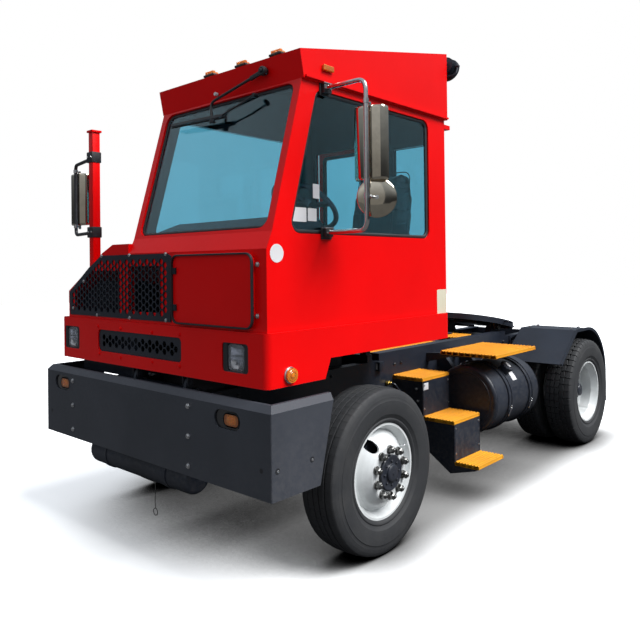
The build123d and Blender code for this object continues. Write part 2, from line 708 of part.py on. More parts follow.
def window_outline():
    """The side window: its front edge follows the raked pillar."""
    foot = (rake(side_window_bottom) + 130, side_window_bottom)
    head = (rake(side_window_top) + 130, side_window_top)
    outline = Polygon(foot, head, (side_window_rear, side_window_top),
                      (side_window_rear, side_window_bottom), align=None)
    return fillet(outline.vertices(), window_radius)


def window_cut(x0, x1, grow=0.0):
    plane = Plane(origin=(x0, 0, 0), x_dir=(0, 1, 0), z_dir=(1, 0, 0))
    outline = window_outline()
    if grow:
        outline = offset(outline, grow)
    return extrude(plane * outline, x1 - x0, dir=(1, 0, 0))


def screen_plane():
    up = Vector(0, brow_y - screen_foot_y, brow_z - screen_foot_z).normalized()
    return Plane(origin=((cab_left + cab_right) / 2, screen_foot_y, screen_foot_z),
                 x_dir=(1, 0, 0), z_dir=Vector(1, 0, 0).cross(up))


def screen_outline(grow=0.0):
    height = hypot(brow_y - screen_foot_y, brow_z - screen_foot_z)
    wide = cab_left - cab_right - 2 * screen_margin + 2 * grow
    tall = height - 2 * 16.0 + 2 * grow
    return Pos(0, height / 2 + 4) * RectangleRounded(wide, tall, window_radius)


def cab_shell():
    """The cab's walls, floor, firewall and cowl as one hollow shell with its windows cut."""
    w = cab_wall
    shell = across(side_outline(), cab_right, cab_left)
    cavity = [(firewall, floor_bottom + w), (firewall, cowl_height),
              (cab_front + w + 60, cowl_height), (screen_foot_y + w, screen_foot_z),
              (brow_y + w, brow_z + 10), (cab_rear - w, brow_z + 10), (cab_rear - w, floor_bottom + w)]
    shell -= across(cavity, cab_right + w, cab_left - w)
    bay = [(cab_front + w, floor_bottom - 10), (cab_front + w, cowl_height - w),
           (firewall - w, cowl_height - w), (firewall - w, floor_bottom - 10)]
    shell -= across(bay, cab_right - 10, cab_left - w)
    shell -= window_cut(cab_left - w - 10, cab_left + 10)
    shell -= window_cut(cab_right - 10, cab_right + w + 10)
    shell -= extrude(screen_plane() * screen_outline(), 120, both=True) & \
        block(cab_right, cab_left, -1000, -500, cowl_height + 30, brow_z - 2)
    shell -= block(door_right, door_left, cab_rear - w - 10, cab_rear + 10, door_bottom, door_top)
    shell -= block(door_left + 110, cab_left - 90, cab_rear - w - 10, cab_rear + 10, 1900, 2700)
    shell += block(hatch_right + 10, hatch_left - 10, cab_front, cab_front + pocket_depth + 10,
                   hatch_bottom + 10, hatch_top - 10)
    shell -= extrude(Plane.XZ.offset(1 - cab_front) * hatch_outline(hatch_lap), -pocket_depth)
    for z in hinge_heights:
        for low in (z - 34, z + 24):
            shell += block(hinge_x - 8, hinge_x + 5, hinge_y, cab_front + 1, low, low + 10)
            shell += bar((hinge_x, hinge_y, low), (hinge_x, hinge_y, low + 10), 8)
        shell += bar((hinge_x, hinge_y, z - 34), (hinge_x, hinge_y, z + 34), hinge_pin)
    x0, x1 = grille_windows()[1]
    shell -= block(x0, x1, cab_front - 10, cab_front + w + 10, band_top + 70, cowl_height - 83)
    shell += block(door_right - 20, cab_left, cab_rear, door_face + door_thickness + 22,
                   door_top + 46, door_top + 76)
    return shell


def grille_windows():
    return ((-980.0, -346.0), (-220.0, 124.0))


def lower_band():
    """The wrap-around panel below the waist, stepped up behind the front wheel."""
    outer = Plane.XY.offset(band_bottom) * Pos((band_left + band_right) / 2, (band_front + band_rear) / 2) * \
        RectangleRounded(band_left - band_right, band_rear - band_front, band_corner)
    inner = Plane.XY.offset(band_bottom) * Pos((band_left + band_right) / 2, (band_front + band_rear) / 2) * \
        RectangleRounded(band_left - band_right - 2 * band_wall, band_rear - band_front - 2 * band_wall,
                         band_corner - band_wall)
    ring = extrude(outer - inner, band_top - band_bottom)
    step = [(-504, band_bottom - 10), (-449, band_step), (band_rear + 10, band_step),
            (band_rear + 10, band_bottom - 10)]
    ring -= across(step, band_right - 10, band_left + 10)
    mesh = Plane.XZ.offset(-band_front + 1) * \
        Pos((mesh_left + mesh_right) / 2, (mesh_bottom + mesh_top) / 2) * \
        RectangleRounded(mesh_left - mesh_right, mesh_top - mesh_bottom, 30)
    ring -= extrude(mesh, -30)
    for x0, x1 in headlamp_slots():
        slot = Plane.XZ.offset(-band_front + 1) * Pos((x0 + x1) / 2, 1309) * \
            RectangleRounded(x1 - x0, 162, 22)
        ring -= extrude(slot, -30)
    ring -= block(door_right, door_left, band_rear - band_wall - 5, band_rear + 5, door_bottom, band_top + 5)
    ring += block(door_right - 20, cab_left, band_rear, door_face + door_thickness + 22,
                  door_bottom - 46, door_bottom - 36)
    ring -= block(cab_left - 60, cab_left, cab_rear - 60, cab_rear, floor_bottom - 5, band_top + 5)
    shelf = band_top - 8
    edge = hood_right + hood_wall
    ring += block(band_right + band_wall - 1, edge, cab_front, cab_rear, shelf, band_top)
    for y in (cab_front, cab_rear - hood_wall):
        ring += block(edge - 1, cab_right - 1, y, y + hood_wall, shelf, band_top)
    for x in tilt_lugs:
        for offset_x in (-1, 1):
            middle = x + offset_x * (12 + swing_gap + 6)
            lug = [(tilt_y - 20, tilt_z - 18), (tilt_y + 18, tilt_z - 18), (tilt_y + 20, tilt_z + 30),
                   (tilt_y + 10, 1225), (band_front + band_wall, 1225), (band_front + band_wall, 1160)]
            plate = across(lug, middle - 6, middle + 6)
            plate -= across_bar(middle - 10, middle + 10, tilt_y, tilt_z, 12 + pin_clearance)
            ring += plate
    return ring


def headlamp_slots():
    return ((750.0, 970.0), (-1078.0, -862.0))


def hood_level(share):
    return band_top + share * (hood_top - band_top)


def hood_outline(inset=0.0):
    i = inset
    low, middle, high = (hood_level(share) for share in hood_shares)
    return [(cab_right, band_top), (cab_right, hood_top - i), (-427, hood_top - i),
            (-560 + i * 0.3, high - i), (-740 + i * 0.3, middle - i),
            (hood_right + i, low - i * 0.6), (hood_right + i, band_top)]


def hood():
    """The engine cover beside the cab, open underneath and against the cab's wall."""
    cover = along(hood_outline(), cab_front, cab_rear)
    cover -= along([(x, z - 1 if z == band_top else z) for x, z in hood_outline(hood_wall)],
                   cab_front + hood_wall, cab_rear - hood_wall)
    for x0, x1 in grille_windows():
        if x1 < cab_right:
            low, middle, _ = (hood_level(share - 0.04) for share in hood_shares)
            sill = hood_level(0.08)
            big = [(x0 + 20, sill), (x0 + 20, low), (-740, middle), (x1, middle), (x1, sill)]
            cover -= along(big, cab_front - 10, cab_front + hood_wall + 10)
    for n in range(louvre_count):
        y = louvre_first + n * louvre_pitch
        cover -= block(hood_right - 10, hood_right + hood_wall + 10, y, y + louvre_width,
                       hood_level(0.08), hood_level(0.27))
    return cover


def roof_outline():
    return [(brow_y, brow_z), (roof_front, roof_front_z), (cab_rear + 20, roof_rear_z),
            (cab_rear + 20, brow_z)]


def roof():
    """The wedge roof that rises rearward over a level gutter."""
    w = cab_wall
    lid = across(roof_outline(), cab_right - 8, cab_left + 16)
    inner = [(brow_y + w, brow_z - 1), (roof_front + w + 12, roof_front_z - w),
             (cab_rear - w, roof_rear_z - w - 12), (cab_rear - w, brow_z - 1)]
    lid -= across(inner, cab_right + w, cab_left - w)
    gutter = both_sides(cab_right - 20, cab_left + 28)
    return lid + gutter


def both_sides(x0, x1):
    strips = block(x0, x0 + 14, brow_y + 10, cab_rear + 20, brow_z + 6, brow_z + 18)
    return strips + block(x1 - 14, x1, brow_y + 10, cab_rear + 20, brow_z + 6, brow_z + 18)


def windshield():
    pane = screen_plane().offset(-cab_wall / 2) * screen_outline(-rest_gap)
    return extrude(pane, -glass_thickness)


def side_windows():
    left = window_cut(cab_left - cab_wall / 2 - glass_thickness / 2,
                      cab_left - cab_wall / 2 + glass_thickness / 2, -rest_gap)
    right = window_cut(cab_right + cab_wall / 2 - glass_thickness / 2,
                       cab_right + cab_wall / 2 + glass_thickness / 2, -rest_gap)
    rear = block(door_left + 110 + rest_gap, cab_left - 90 - rest_gap,
                 cab_rear - cab_wall / 2 - 3, cab_rear - cab_wall / 2 + 3, 1900 + rest_gap, 2700 - rest_gap)
    return Compound(children=[left, right, rear])


def perforated(outline, y, thickness):
    """A plate in an x-z plane with hexagonal holes in columns, and a plain border; its outline runs
    anticlockwise as (x, z) points and is convex."""
    pitch, radius = grille_pitch, (grille_pitch - grille_web) / sqrt(3)
    low_x, high_x = min(x for x, _ in outline), max(x for x, _ in outline)
    low_z, high_z = min(z for _, z in outline), max(z for _, z in outline)

    def inside(x, z):
        for (ax, az), (bx, bz) in zip(outline, outline[1:] + outline[:1]):
            reach = ((bx - ax) * (z - az) - (bz - az) * (x - ax)) / hypot(bx - ax, bz - az)
            if reach < grille_border:
                return False
        return True

    column = pitch * sqrt(3) / 2
    columns = int((high_x - low_x) / column)
    rows = int((high_z - low_z) / pitch) + 1
    first_x = (low_x + high_x) / 2 - (columns - 1) * column / 2
    first_z = (low_z + high_z) / 2 - rows * pitch / 2
    holes = []
    for i in range(columns):
        for j in range(rows + 1):
            x, z = first_x + i * column, first_z + (j + i % 2 / 2) * pitch
            if inside(x, z):
                ring = [(x + radius * cos(n * pi / 3), y, z + radius * sin(n * pi / 3)) for n in range(6)]
                holes.append(Wire.make_polygon(ring))
    edge = Wire.make_polygon([(x, y, z) for x, z in outline])
    return extrude(Face(edge, holes), thickness, dir=(0, 1, 0))


def upper_grille():
    """The perforated plate over the hood's and the cab's front."""
    low, middle, _ = (hood_level(share) for share in hood_shares)
    outline = [(-1012, band_top + 20), (249, band_top + 20), (255, cowl_height - 24),
               (213, cowl_height - 8), (-560, cowl_height - 7), (-740, middle), (-1022, low - 8)]
    return perforated(outline, cab_front - grille_thickness, grille_thickness)


def lower_grille():
    """The mesh let into the band, between the headlamps."""
    chamfer, gap = 30.0, rest_gap
    left, right, low, high = mesh_left - gap, mesh_right + gap, mesh_bottom + gap, mesh_top - gap
    outline = [(right + chamfer, low), (left - chamfer, low), (left, low + chamfer),
               (left, high - chamfer), (left - chamfer, high), (right + chamfer, high),
               (right, high - chamfer), (right, low + chamfer)]
    return perforated(outline, band_front + band_wall / 2, 5.0)


def headlamps():
    lamps = []
    for x0, x1 in headlamp_slots():
        middle = (x0 + x1) / 2
        back = Plane.XZ.offset(-band_front - band_wall) * Pos(middle, 1309) * \
            RectangleRounded(x1 - x0 + 12, 186, 22)
        lamp = extrude(back, -45)
        for z in (1271, 1347):
            lens = Plane.XZ.offset(-band_front - band_wall) * Pos(middle, z) * \
                RectangleRounded(x1 - x0 - 24, 64, 16)
            lamp += extrude(lens, band_wall - 4)
        lamps.append(lamp)
    return Compound(children=lamps)


def marker_lamps():
    """Amber lamps along the brow and one on each side of the band and roof."""
    lamps = []
    solid_roof = across(roof_outline(), cab_right - 8, cab_left + 16)
    for x in roof_lamps:
        dome = Pos(x, roof_front + 45, roof_front_z + 8) * Rot(12, 0, 0) * \
            fillet(Box(86, 56, 60).edges(), 16)
        lamps.append(dome - solid_roof)
    lamps.append(across_bar(band_left, band_left + 22, -786, 1220, 40))
    lamps.append(fillet(block(cab_left + 16, cab_left + 36, -500, -412, brow_z + 71, brow_z + 105).edges(), 6))
    return Compound(children=lamps)


def work_light():
    y, z = cab_rear + 20, roof_rear_z - 125
    arm = block(cab_left - 60, cab_left - 20, y, y + 60, z - 30, z + 30)
    lamp = bar((cab_left - 40, y + 55, z), (cab_left - 40, y + 150, z - 30), 85)
    return arm + lamp


def tube_path(points, radius, bend):
    """A round tube along straight runs with equal bends."""
    path = FilletPolyline(*points, radius=bend)
    start = Plane(origin=path @ 0, z_dir=path % 0)
    return sweep(start * Circle(radius), path=path)


def mirror_left():
    """The driver's mirror loop with a tall flat head and a round convex one below it."""
    x = cab_left
    reach, y = x + mirror_reach, -475
    low, high = side_window_bottom + 18, side_window_top
    arm = tube_path([(x + 4, y, high), (reach, y, high), (reach, y, low), (x + 4, y, low)], 13, 60)
    for z in (high, low):
        arm += across_bar(x, x + 12, y, z, 32)
    head_turn = Rot(0, 0, -12)
    head = Pos(reach + 18, y + 27, low + 475) * head_turn * fillet(Box(*mirror_head).edges(), 24)
    convex = Pos(reach + 18, y + 27, low + 170) * head_turn * Rot(90, 0, 0) * \
        fillet(Cylinder(98, 44).edges(), 14)
    return arm + head + convex


def mirror_right():
    """The kerb-side mirror on a square post that stands on the hood."""
    top, x, y, half = side_window_top, -925, -790, mirror_post / 2
    post = block(x - half, x + half, y - half, y + half, band_top + 145, top)
    post += block(x - half - 10, x + half + 10, y - half - 10, y + half + 10, top, top + 16)
    post -= along(hood_outline(), cab_front, cab_rear)
    low, high, reach = top - 746, top - 186, -1385
    arm = tube_path([(x, y, high), (reach, -700, high), (reach, -700, low), (x, y, low)], 13, 40)
    turn = Rot(0, 0, 14)
    head = Pos(reach - 25, -680, (low + high) / 2 + 10) * turn * fillet(Box(*mirror_head).edges(), 24)
    return post + arm + head


def hatch_outline(inset=0.0):
    """The front access door's outline, drawn on the cab's front."""
    place = Pos((hatch_left + hatch_right) / 2, (hatch_bottom + hatch_top) / 2)
    return place * RectangleRounded(hatch_left - hatch_right - 2 * inset,
                                    hatch_top - hatch_bottom - 2 * inset, hatch_radius - inset / 2)


def access_door():
    """The front service door, laid over its opening and hung on two pins."""
    back = rest_gap - cab_front
    door = extrude(Plane.XZ.offset(back) * hatch_outline(), hatch_thickness)
    for z in hinge_heights:
        door += block(hinge_x, hatch_right + 40, hinge_y - 4, 1 - back - hatch_thickness, z - 19, z + 19)
        door += bar((hinge_x, hinge_y, z - 19), (hinge_x, hinge_y, z + 19), 9)
        door -= bar((hinge_x, hinge_y, z - 25), (hinge_x, hinge_y, z + 25), hinge_pin + pin_clearance)
    return door


def rear_door():
    """The sliding rear door, hung from the rail above it, with its own window pane."""
    y = door_face
    low, high = door_bottom - 26, door_top + 26
    leaf = block(door_right - 20, door_left + 20, y, y + door_thickness, low, high)
    leaf -= block(door_right + 80, door_left - 80, y - 5, y + door_thickness + 5, 1950, 2650)
    leaf += block(door_right + 70, door_left - 70, y + 12, y + 18, 1940, 2660)
    for x in (door_right + 60, door_left - 60):
        leaf += block(x - 30, x + 30, y + 6, y + 24, high - 1, door_top + 46 - rest_gap)
        leaf += block(x - 30, x + 30, y + 6, y + 24, door_bottom - 36 + rest_gap, low + 1)
    leaf += block(door_right + 30, door_right + 54, y + door_thickness - 1, y + door_thickness + 40, 1750, 1900)
    return leaf


def seat():
    """The driver's seat: pedestal, slides, cushion with its side bolsters, and a backrest."""
    x, half, low = driver_x, seat_width / 2, floor_top + seat_height
    base = block(x - 150, x + 150, 90, 450, floor_top, low - 60)
    base += block(x - 190, x + 190, 40, 490, floor_top, floor_top + 25)
    base += block(x - 200, x + 200, 30, 500, low - 61, low + 1)
    cushion = fillet(block(x - half, x + half, -20, 540, low, low + 130).edges(), 40)
    back = Pos(x, 560, low + 420) * Rot(-10, 0, 0) * fillet(Box(seat_width - 20, 130, 640).edges(), 45)
    return base + cushion + back


def dashboard():
    """The dash under the windscreen with the steering column and wheel."""
    top = cowl_height
    outline = [(screen_foot_y + 110, top), (screen_foot_y + 140, top + 135), (-560, top + 205),
               (-470, top + 155), (-430, top)]
    dash = across(outline, cab_right + cab_wall, cab_left - cab_wall)
    x = driver_x + 40
    turn = Plane(origin=(x, -300, top + 285), z_dir=(0, 0.62, 0.78))
    wheel = turn.location * Torus(215, 16)
    wheel += extrude(turn * Circle(55), 24, both=True)
    wheel += extrude(turn * (Rectangle(426, 34) + Pos(0, -100) * Rectangle(34, 210)), 8, both=True)
    column = bar((x, -520, top + 15), (x, -304, top + 279), 32)
    return dash + column + wheel


def controls():
    """Pedals on the firewall, and the console beside the seat with its two levers."""
    right = driver_x - seat_width / 2 - console_gap
    x, top = right - console_width / 2, floor_top + console_height
    console = fillet(block(right - console_width, right, -60, 520, floor_top, top).edges(), 18)
    for foot, lean in ((60, -40), (190, -30)):
        tip = (x, foot + lean, top + lever_rise)
        console += bar((x, foot, top - 5), tip, 9) + Pos(*tip) * Sphere(24)
    pieces = [console]
    for offset_x, width in pedals:
        x, y, z = driver_x + offset_x, firewall + 120, floor_top + pedal_height
        bracket = block(x - 25, x + 25, firewall, firewall + 14, z + 115, z + 185)
        arm = bar((x, firewall + 12, z + 150), (x, y + 5, z), 11)
        pieces.append(bracket + arm + Pos(x, y + 5, z) * Rot(-50, 0, 0) * Box(width, 12, 120))
    return Compound(children=pieces)


# ---- coupling -----------------------------------------------------------------------------------
def boom():
    """Two arms from the pivot to the coupler's trunnions, tied across, with lugs for the cylinders."""
    inner = boom_half - boom_arm
    under = deck_top - step_thickness
    side = [(boom_y - 45, boom_z - 30), (boom_y - 45, under), (coupler_y - 110, under),
            (coupler_y - 55, coupler_z + 26), (coupler_y + 55, coupler_z + 26),
            (coupler_y + 90, 1060), (coupler_y + 60, 985), (boom_y + 300, 975)]
    frame = both(across(side, inner, boom_half))
    frame += across_bar(-inner, inner, boom_y + 160, boom_z, 48)
    frame += block(-inner, inner, coupler_y - 120, coupler_y + 60, 985, 1050)
    frame -= across_bar(-web_reach, web_reach, boom_y, boom_z, pivot_radius + pin_clearance)
    lug = [(lift_eye_y - 34, lift_eye_z + 20), (lift_eye_y - 30, lift_eye_z - 32),
           (lift_eye_y + 30, lift_eye_z - 32), (coupler_y - 118, 990), (coupler_y - 118, 1045)]
    for s in (-1, 1):
        near = lift_x - 30 - swing_gap
        x0, x1 = sorted((s * (near - 20), s * near))
        frame += across(lug, x0, x1)
        frame += across_bar(min(x0, s * inner), max(x1, s * inner), lift_eye_y, lift_eye_z, eye_pin_radius)
        frame += across_bar(s * boom_half, s * (boom_half + 34), coupler_y, coupler_z, trunnion_radius)
    for y in (boom_deck[0] + 20, boom_deck[1] - 20):
        frame += block(-inner, inner, y - 20, y + 20, 1020, under)
    return frame


def boom_plate():
    """The grip plate a driver treads on in front of the coupler."""
    return tread(-boom_half, boom_half, boom_deck[0], boom_deck[1], deck_top)


def coupler_turn():
    """Tips the coupler rearward about its trunnion line."""
    return Pos(0, coupler_y, coupler_z) * Rot(-coupler_tilt, 0, 0)


def fifth_wheel():
    """The coupler plate with its throat, ramps, skirt and trunnion lugs, tipped as it parks."""
    t, top = plate_thickness, plate_height
    z0 = top - t
    r = plate_half
    disc = Circle(r) & Pos(0, -plate_front / 2 + 120) * Rectangle(2 * r, plate_front + 400)
    plate = extrude(Plane.XY.offset(z0) * disc, t)
    horn = []
    for side in (-1, 1):
        outline = [(side * 60, 250), (side * 150, plate_rear), (side * 330, plate_rear),
                   (side * 380, 180), (side * 60, 180)]
        horn.append(extrude(Plane.XY.offset(z0) * Polygon(*outline, align=None), t))
    plate = join([plate] + horn)
    throat = upright([(-throat_radius, 0), (throat_radius, 0), (throat_radius + 2, 150), (190, plate_rear + 40),
                      (-190, plate_rear + 40), (-throat_radius - 2, 150)], z0 - 60, top + 5)
    throat += extrude(Plane.XY.offset(z0 - 60) * Circle(throat_radius), 80)
    skirt = extrude(Plane.XY.offset(z0 - 45) * (disc - offset(disc, -18)), 45.5)
    jaw = upright([(-140, -120), (140, -120), (150, 120), (-150, 120)], z0 - 48, z0 + 0.5)
    body = plate + skirt + jaw - throat
    for side in (-1, 1):
        lug = [(-70, z0 + 0.5), (70, z0 + 0.5), (48, -40), (-48, -40)]
        x0, x1 = sorted((side * (boom_half + swing_gap), side * (boom_half + 34)))
        body += across(lug, x0, x1)
        body -= across_bar(x0 - 5, x1 + 5, 0, 0, trunnion_radius + pin_clearance)
    reach, z = plate_half + handle_reach, z0 - 11
    body += bar((boom_half + 60, -60, z), (reach, -110, z), 9) + bar((reach, -150, z), (reach, -70, z), 11)
    return coupler_turn() * body


def lift_direction():
    return Vector(0, lift_eye_y - lift_foot_y, lift_eye_z - lift_foot_z).normalized()


def lift_barrels():
    d = lift_direction()
    pieces = []
    for side in (-1, 1):
        foot = Vector(side * lift_x, lift_foot_y, lift_foot_z)
        barrel = bar(foot + d * 20, foot + d * 430, barrel_radius)
        eye = across_bar(side * lift_x - 45, side * lift_x + 45, lift_foot_y, lift_foot_z, 40)
        hollow = bar(foot + d * 70, foot + d * 440, lift_rod_radius + spindle_clearance)
        pin = across_bar(side * lift_x - 60, side * lift_x + 60, lift_foot_y, lift_foot_z,
                         foot_pin_radius + pin_clearance)
        pieces.append(barrel + eye - hollow - pin)
    return Compound(children=pieces)


def lift_rods():
    d = lift_direction()
    pieces = []
    for side in (-1, 1):
        foot = Vector(side * lift_x, lift_foot_y, lift_foot_z)
        eye = Vector(side * lift_x, lift_eye_y, lift_eye_z)
        rod = bar(foot + d * 130, eye, lift_rod_radius)
        rod += across_bar(side * lift_x - 28, side * lift_x + 28, lift_eye_y, lift_eye_z, 44)
        rod -= across_bar(side * lift_x - 40, side * lift_x + 40, lift_eye_y, lift_eye_z, eye_bore)
        pieces.append(rod)
    return Compound(children=pieces)


# ---- write every node ---------------------------------------------------------------------------
def front_tyre(side):
    return tyre_at(side * front_track / 2)


def rear_tyres(side):
    middle = side * rear_track / 2
    pair = [tyre_at(middle - twin_spacing / 2), tyre_at(middle + twin_spacing / 2)]
    return Pos(0, wheelbase, 0) * Compound(children=pair)


nodes = {
    "chassis_frame": chassis_frame,
    "deck_beams": deck_beams,
    "front_bumper": front_bumper,
    "bumper_lamps": bumper_lamps,
    "air_tank": air_tank,
    "front_axle": front_axle,
    "rear_axle": rear_axle,
    "engine_block": engine_block,
    "radiator": radiator,
    "fuel_tank": fuel_tank,
    "step_frame": step_frame,
    "step_treads": step_treads,
    "fender_left": lambda: fender(1),
    "fender_right": lambda: fender(-1),
    "tail_lamps": tail_lamps,
    "battery_box": battery_box,
    "exhaust_stack": exhaust_stack,
    "cab_shell": cab_shell,
    "lower_band": lower_band,
    "hood": hood,
    "roof": roof,
    "windshield": windshield,
    "side_windows": side_windows,
    "upper_grille": upper_grille,
    "lower_grille": lower_grille,
    "headlamps": headlamps,
    "marker_lamps": marker_lamps,
    "work_light": work_light,
    "mirror_left": mirror_left,
    "mirror_right": mirror_right,
    "seat": seat,
    "dashboard": dashboard,
    "controls": controls,
    "access_door": access_door,
    "rear_door": rear_door,
    "knuckle_left": lambda: knuckle(1),
    "knuckle_right": lambda: knuckle(-1),
    "tie_rod": tie_rod,
    "tyre_front_left": lambda: front_tyre(1),
    "tyre_front_right": lambda: front_tyre(-1),
    "rim_front_left": lambda: front_rim(1),
    "rim_front_right": lambda: front_rim(-1),
    "tyres_rear_left": lambda: rear_tyres(1),
    "tyres_rear_right": lambda: rear_tyres(-1),
    "rims_rear_left": lambda: rear_rims(1),
    "rims_rear_right": lambda: rear_rims(-1),
    "boom": boom,
    "boom_plate": boom_plate,
    "fifth_wheel": fifth_wheel,
    "lift_barrels": lift_barrels,
    "lift_rods": lift_rods,
}

os.makedirs("parts", exist_ok=True)
for name, make in nodes.items():
    solids = [Pos(0, -middle_y, 0) * solid for solid in make().solids()]
    export_step(Compound(solids), f"parts/{name}.step")
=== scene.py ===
import json
import math
import bmesh
import bpy
from mathutils import Matrix, Vector

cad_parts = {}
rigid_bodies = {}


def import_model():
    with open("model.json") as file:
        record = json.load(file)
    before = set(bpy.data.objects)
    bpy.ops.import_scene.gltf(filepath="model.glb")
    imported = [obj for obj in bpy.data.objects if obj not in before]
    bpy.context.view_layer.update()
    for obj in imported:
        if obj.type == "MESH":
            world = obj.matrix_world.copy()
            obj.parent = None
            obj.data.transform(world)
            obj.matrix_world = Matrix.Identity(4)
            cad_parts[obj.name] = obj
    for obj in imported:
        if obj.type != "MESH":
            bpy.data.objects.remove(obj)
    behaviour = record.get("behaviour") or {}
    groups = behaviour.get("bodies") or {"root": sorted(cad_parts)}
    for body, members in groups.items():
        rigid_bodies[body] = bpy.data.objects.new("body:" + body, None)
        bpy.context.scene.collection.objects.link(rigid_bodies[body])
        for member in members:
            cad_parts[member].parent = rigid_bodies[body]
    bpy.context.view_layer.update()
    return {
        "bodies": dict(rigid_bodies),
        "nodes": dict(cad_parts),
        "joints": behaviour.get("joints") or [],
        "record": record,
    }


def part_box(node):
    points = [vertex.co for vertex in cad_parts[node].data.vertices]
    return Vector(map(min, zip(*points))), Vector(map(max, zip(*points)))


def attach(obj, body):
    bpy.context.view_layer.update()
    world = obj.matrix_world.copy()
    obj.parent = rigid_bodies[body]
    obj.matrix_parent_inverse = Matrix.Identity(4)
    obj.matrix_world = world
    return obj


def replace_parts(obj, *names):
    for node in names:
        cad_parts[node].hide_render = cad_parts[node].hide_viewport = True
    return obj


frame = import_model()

nodeObjects = frame["nodes"]
scene = bpy.context.scene

# Camera
cameraView = {
    "position": (3.6389, -4.7646, 1.8093),
    "yaw": 41.242,
    "pitch": 0.5035,
    "roll": -0.6577,
    "lens": 36.724,
    "shift": (-0.0214, -0.0937),
}


def makeCamera(view):
    yaw, pitch, roll = (math.radians(view[k]) for k in ("yaw", "pitch", "roll"))
    forward = Vector((-math.sin(yaw) * math.cos(pitch), math.cos(yaw) * math.cos(pitch), math.sin(pitch)))
    right = forward.cross(Vector((0, 0, 1))).normalized()
    up = right.cross(forward)
    turnedRight = right * math.cos(roll) + up * math.sin(roll)
    turnedUp = up * math.cos(roll) - right * math.sin(roll)
    camera = bpy.data.objects.new("camera", bpy.data.cameras.new("camera"))
    axes = Matrix((turnedRight, turnedUp, -forward)).transposed().to_4x4()
    camera.matrix_world = Matrix.Translation(view["position"]) @ axes
    camera.data.sensor_width = 36
    camera.data.lens = view["lens"]
    camera.data.shift_x, camera.data.shift_y = view["shift"]
    camera.data.clip_end = 200
    scene.collection.objects.link(camera)
    scene.camera = camera


makeCamera(cameraView)

# Nodes and light
class Nodes:
    def __init__(self, tree):
        self.tree = tree

    def feed(self, socket, value):
        if hasattr(value, "node"):
            self.tree.links.new(value, socket)
        elif isinstance(value, tuple) and len(value) == 3 and len(socket.default_value) == 4:
            socket.default_value = (*value, 1)
        else:
            socket.default_value = value

    def add(self, kind, inputs=None, **settings):
        node = self.tree.nodes.new(kind)
        for key, value in settings.items():
            setattr(node, key, value)
        for key, value in (inputs or {}).items():
            self.feed(node.inputs[key], value)
        return node

    def range(self, value, low, high, toLow=0.0, toHigh=1.0, kind="LINEAR"):
        inputs = dict(enumerate((value, low, high, toLow, toHigh)))
        return self.add("ShaderNodeMapRange", inputs, interpolation_type=kind).outputs[0]

    def sum(self, operation, first, second=0.0, third=0.0):
        return self.add("ShaderNodeMath", dict(enumerate((first, second, third))), operation=operation).outputs[0]

    def times(self, first, second):
        return self.sum("MULTIPLY", first, second)

    def most(self, first, second):
        return self.sum("MAXIMUM", first, second)

    def more(self, first, second):
        return self.sum("GREATER_THAN", first, second)

    def less(self, first, second):
        return self.sum("LESS_THAN", first, second)

    def mix(self, factor, first, second):
        return self.add("ShaderNodeMix", {0: factor, 6: first, 7: second}, data_type="RGBA").outputs[2]

    def seen(self):
        path = self.add("ShaderNodeLightPath").outputs
        return self.most(path["Is Camera Ray"], path["Is Transmission Ray"])


class Surface(Nodes):
    def __init__(self, name, **values):
        self.material = bpy.data.materials.new(name)
        self.material.use_nodes = True
        super().__init__(self.material.node_tree)
        self.shader = self.tree.nodes["Principled BSDF"]
        self.place = self.add("ShaderNodeTexCoord").outputs["Object"]
        for key, value in values.items():
            self.set(key, value)

    def set(self, key, value):
        self.feed(self.shader.inputs[key], value)

    def noise(self, scale, detail=4.0, rough=0.55):
        return self.add("ShaderNodeTexNoise", {"Scale": scale, "Detail": detail, "Roughness": rough,
                                               "Vector": self.place}).outputs["Fac"]

    def axis(self, letter):
        return self.add("ShaderNodeSeparateXYZ", {0: self.place}).outputs[letter]

    def behind(self):
        return self.sum("SUBTRACT", self.axis("Y"), axleY)

    def colour(self):
        return self.shader.inputs["Base Color"].links[0].from_socket

    def bump(self, height, strength, distance):
        inputs = {"Strength": strength, "Distance": distance, "Height": height}
        self.set("Normal", self.add("ShaderNodeBump", inputs).outputs["Normal"])


stageValues = {
    "skyStrength": (0.05, 0.62), "skyRise": (0.02, 0.50), "skyColour": (0.80, 0.89, 1.0),
    "key": (5.1, (3.0, 1.0, 3.9), 34.0), "fill": (0.25, (1.0, -4.0, 0.7), 70.0),
    "floorColour": (0.95, 0.95, 0.95), "floorBounce": (0.10, 0.10, 0.10), "floorSize": 60.0, "floorLift": 0.42,
    # painted shadow: the floor darkens where ambient occlusion finds the truck close by
    "contactShadow": (0.22, 0.86), "contactShadowReach": 1.25, "contactShadowSamples": 24,
    # painted shadow: a soft dark box on the floor under the truck's footprint
    "footShadowCentre": (0.05, 0.42, 0), "footShadowHalf": (1.10, 1.90, 0), "footShadowSpread": (-0.10, 0.50), "footShadowLeast": 0.04,
    "footShadowBend": 0.4,
}


def makeSun(name, strength, source, angle):
    data = bpy.data.lights.new(name, "SUN")
    data.energy, data.angle = strength, math.radians(angle)
    sun = bpy.data.objects.new(name, data)
    sun.rotation_mode = "QUATERNION"
    sun.rotation_quaternion = Vector(source).to_track_quat("Z", "Y")
    scene.collection.objects.link(sun)


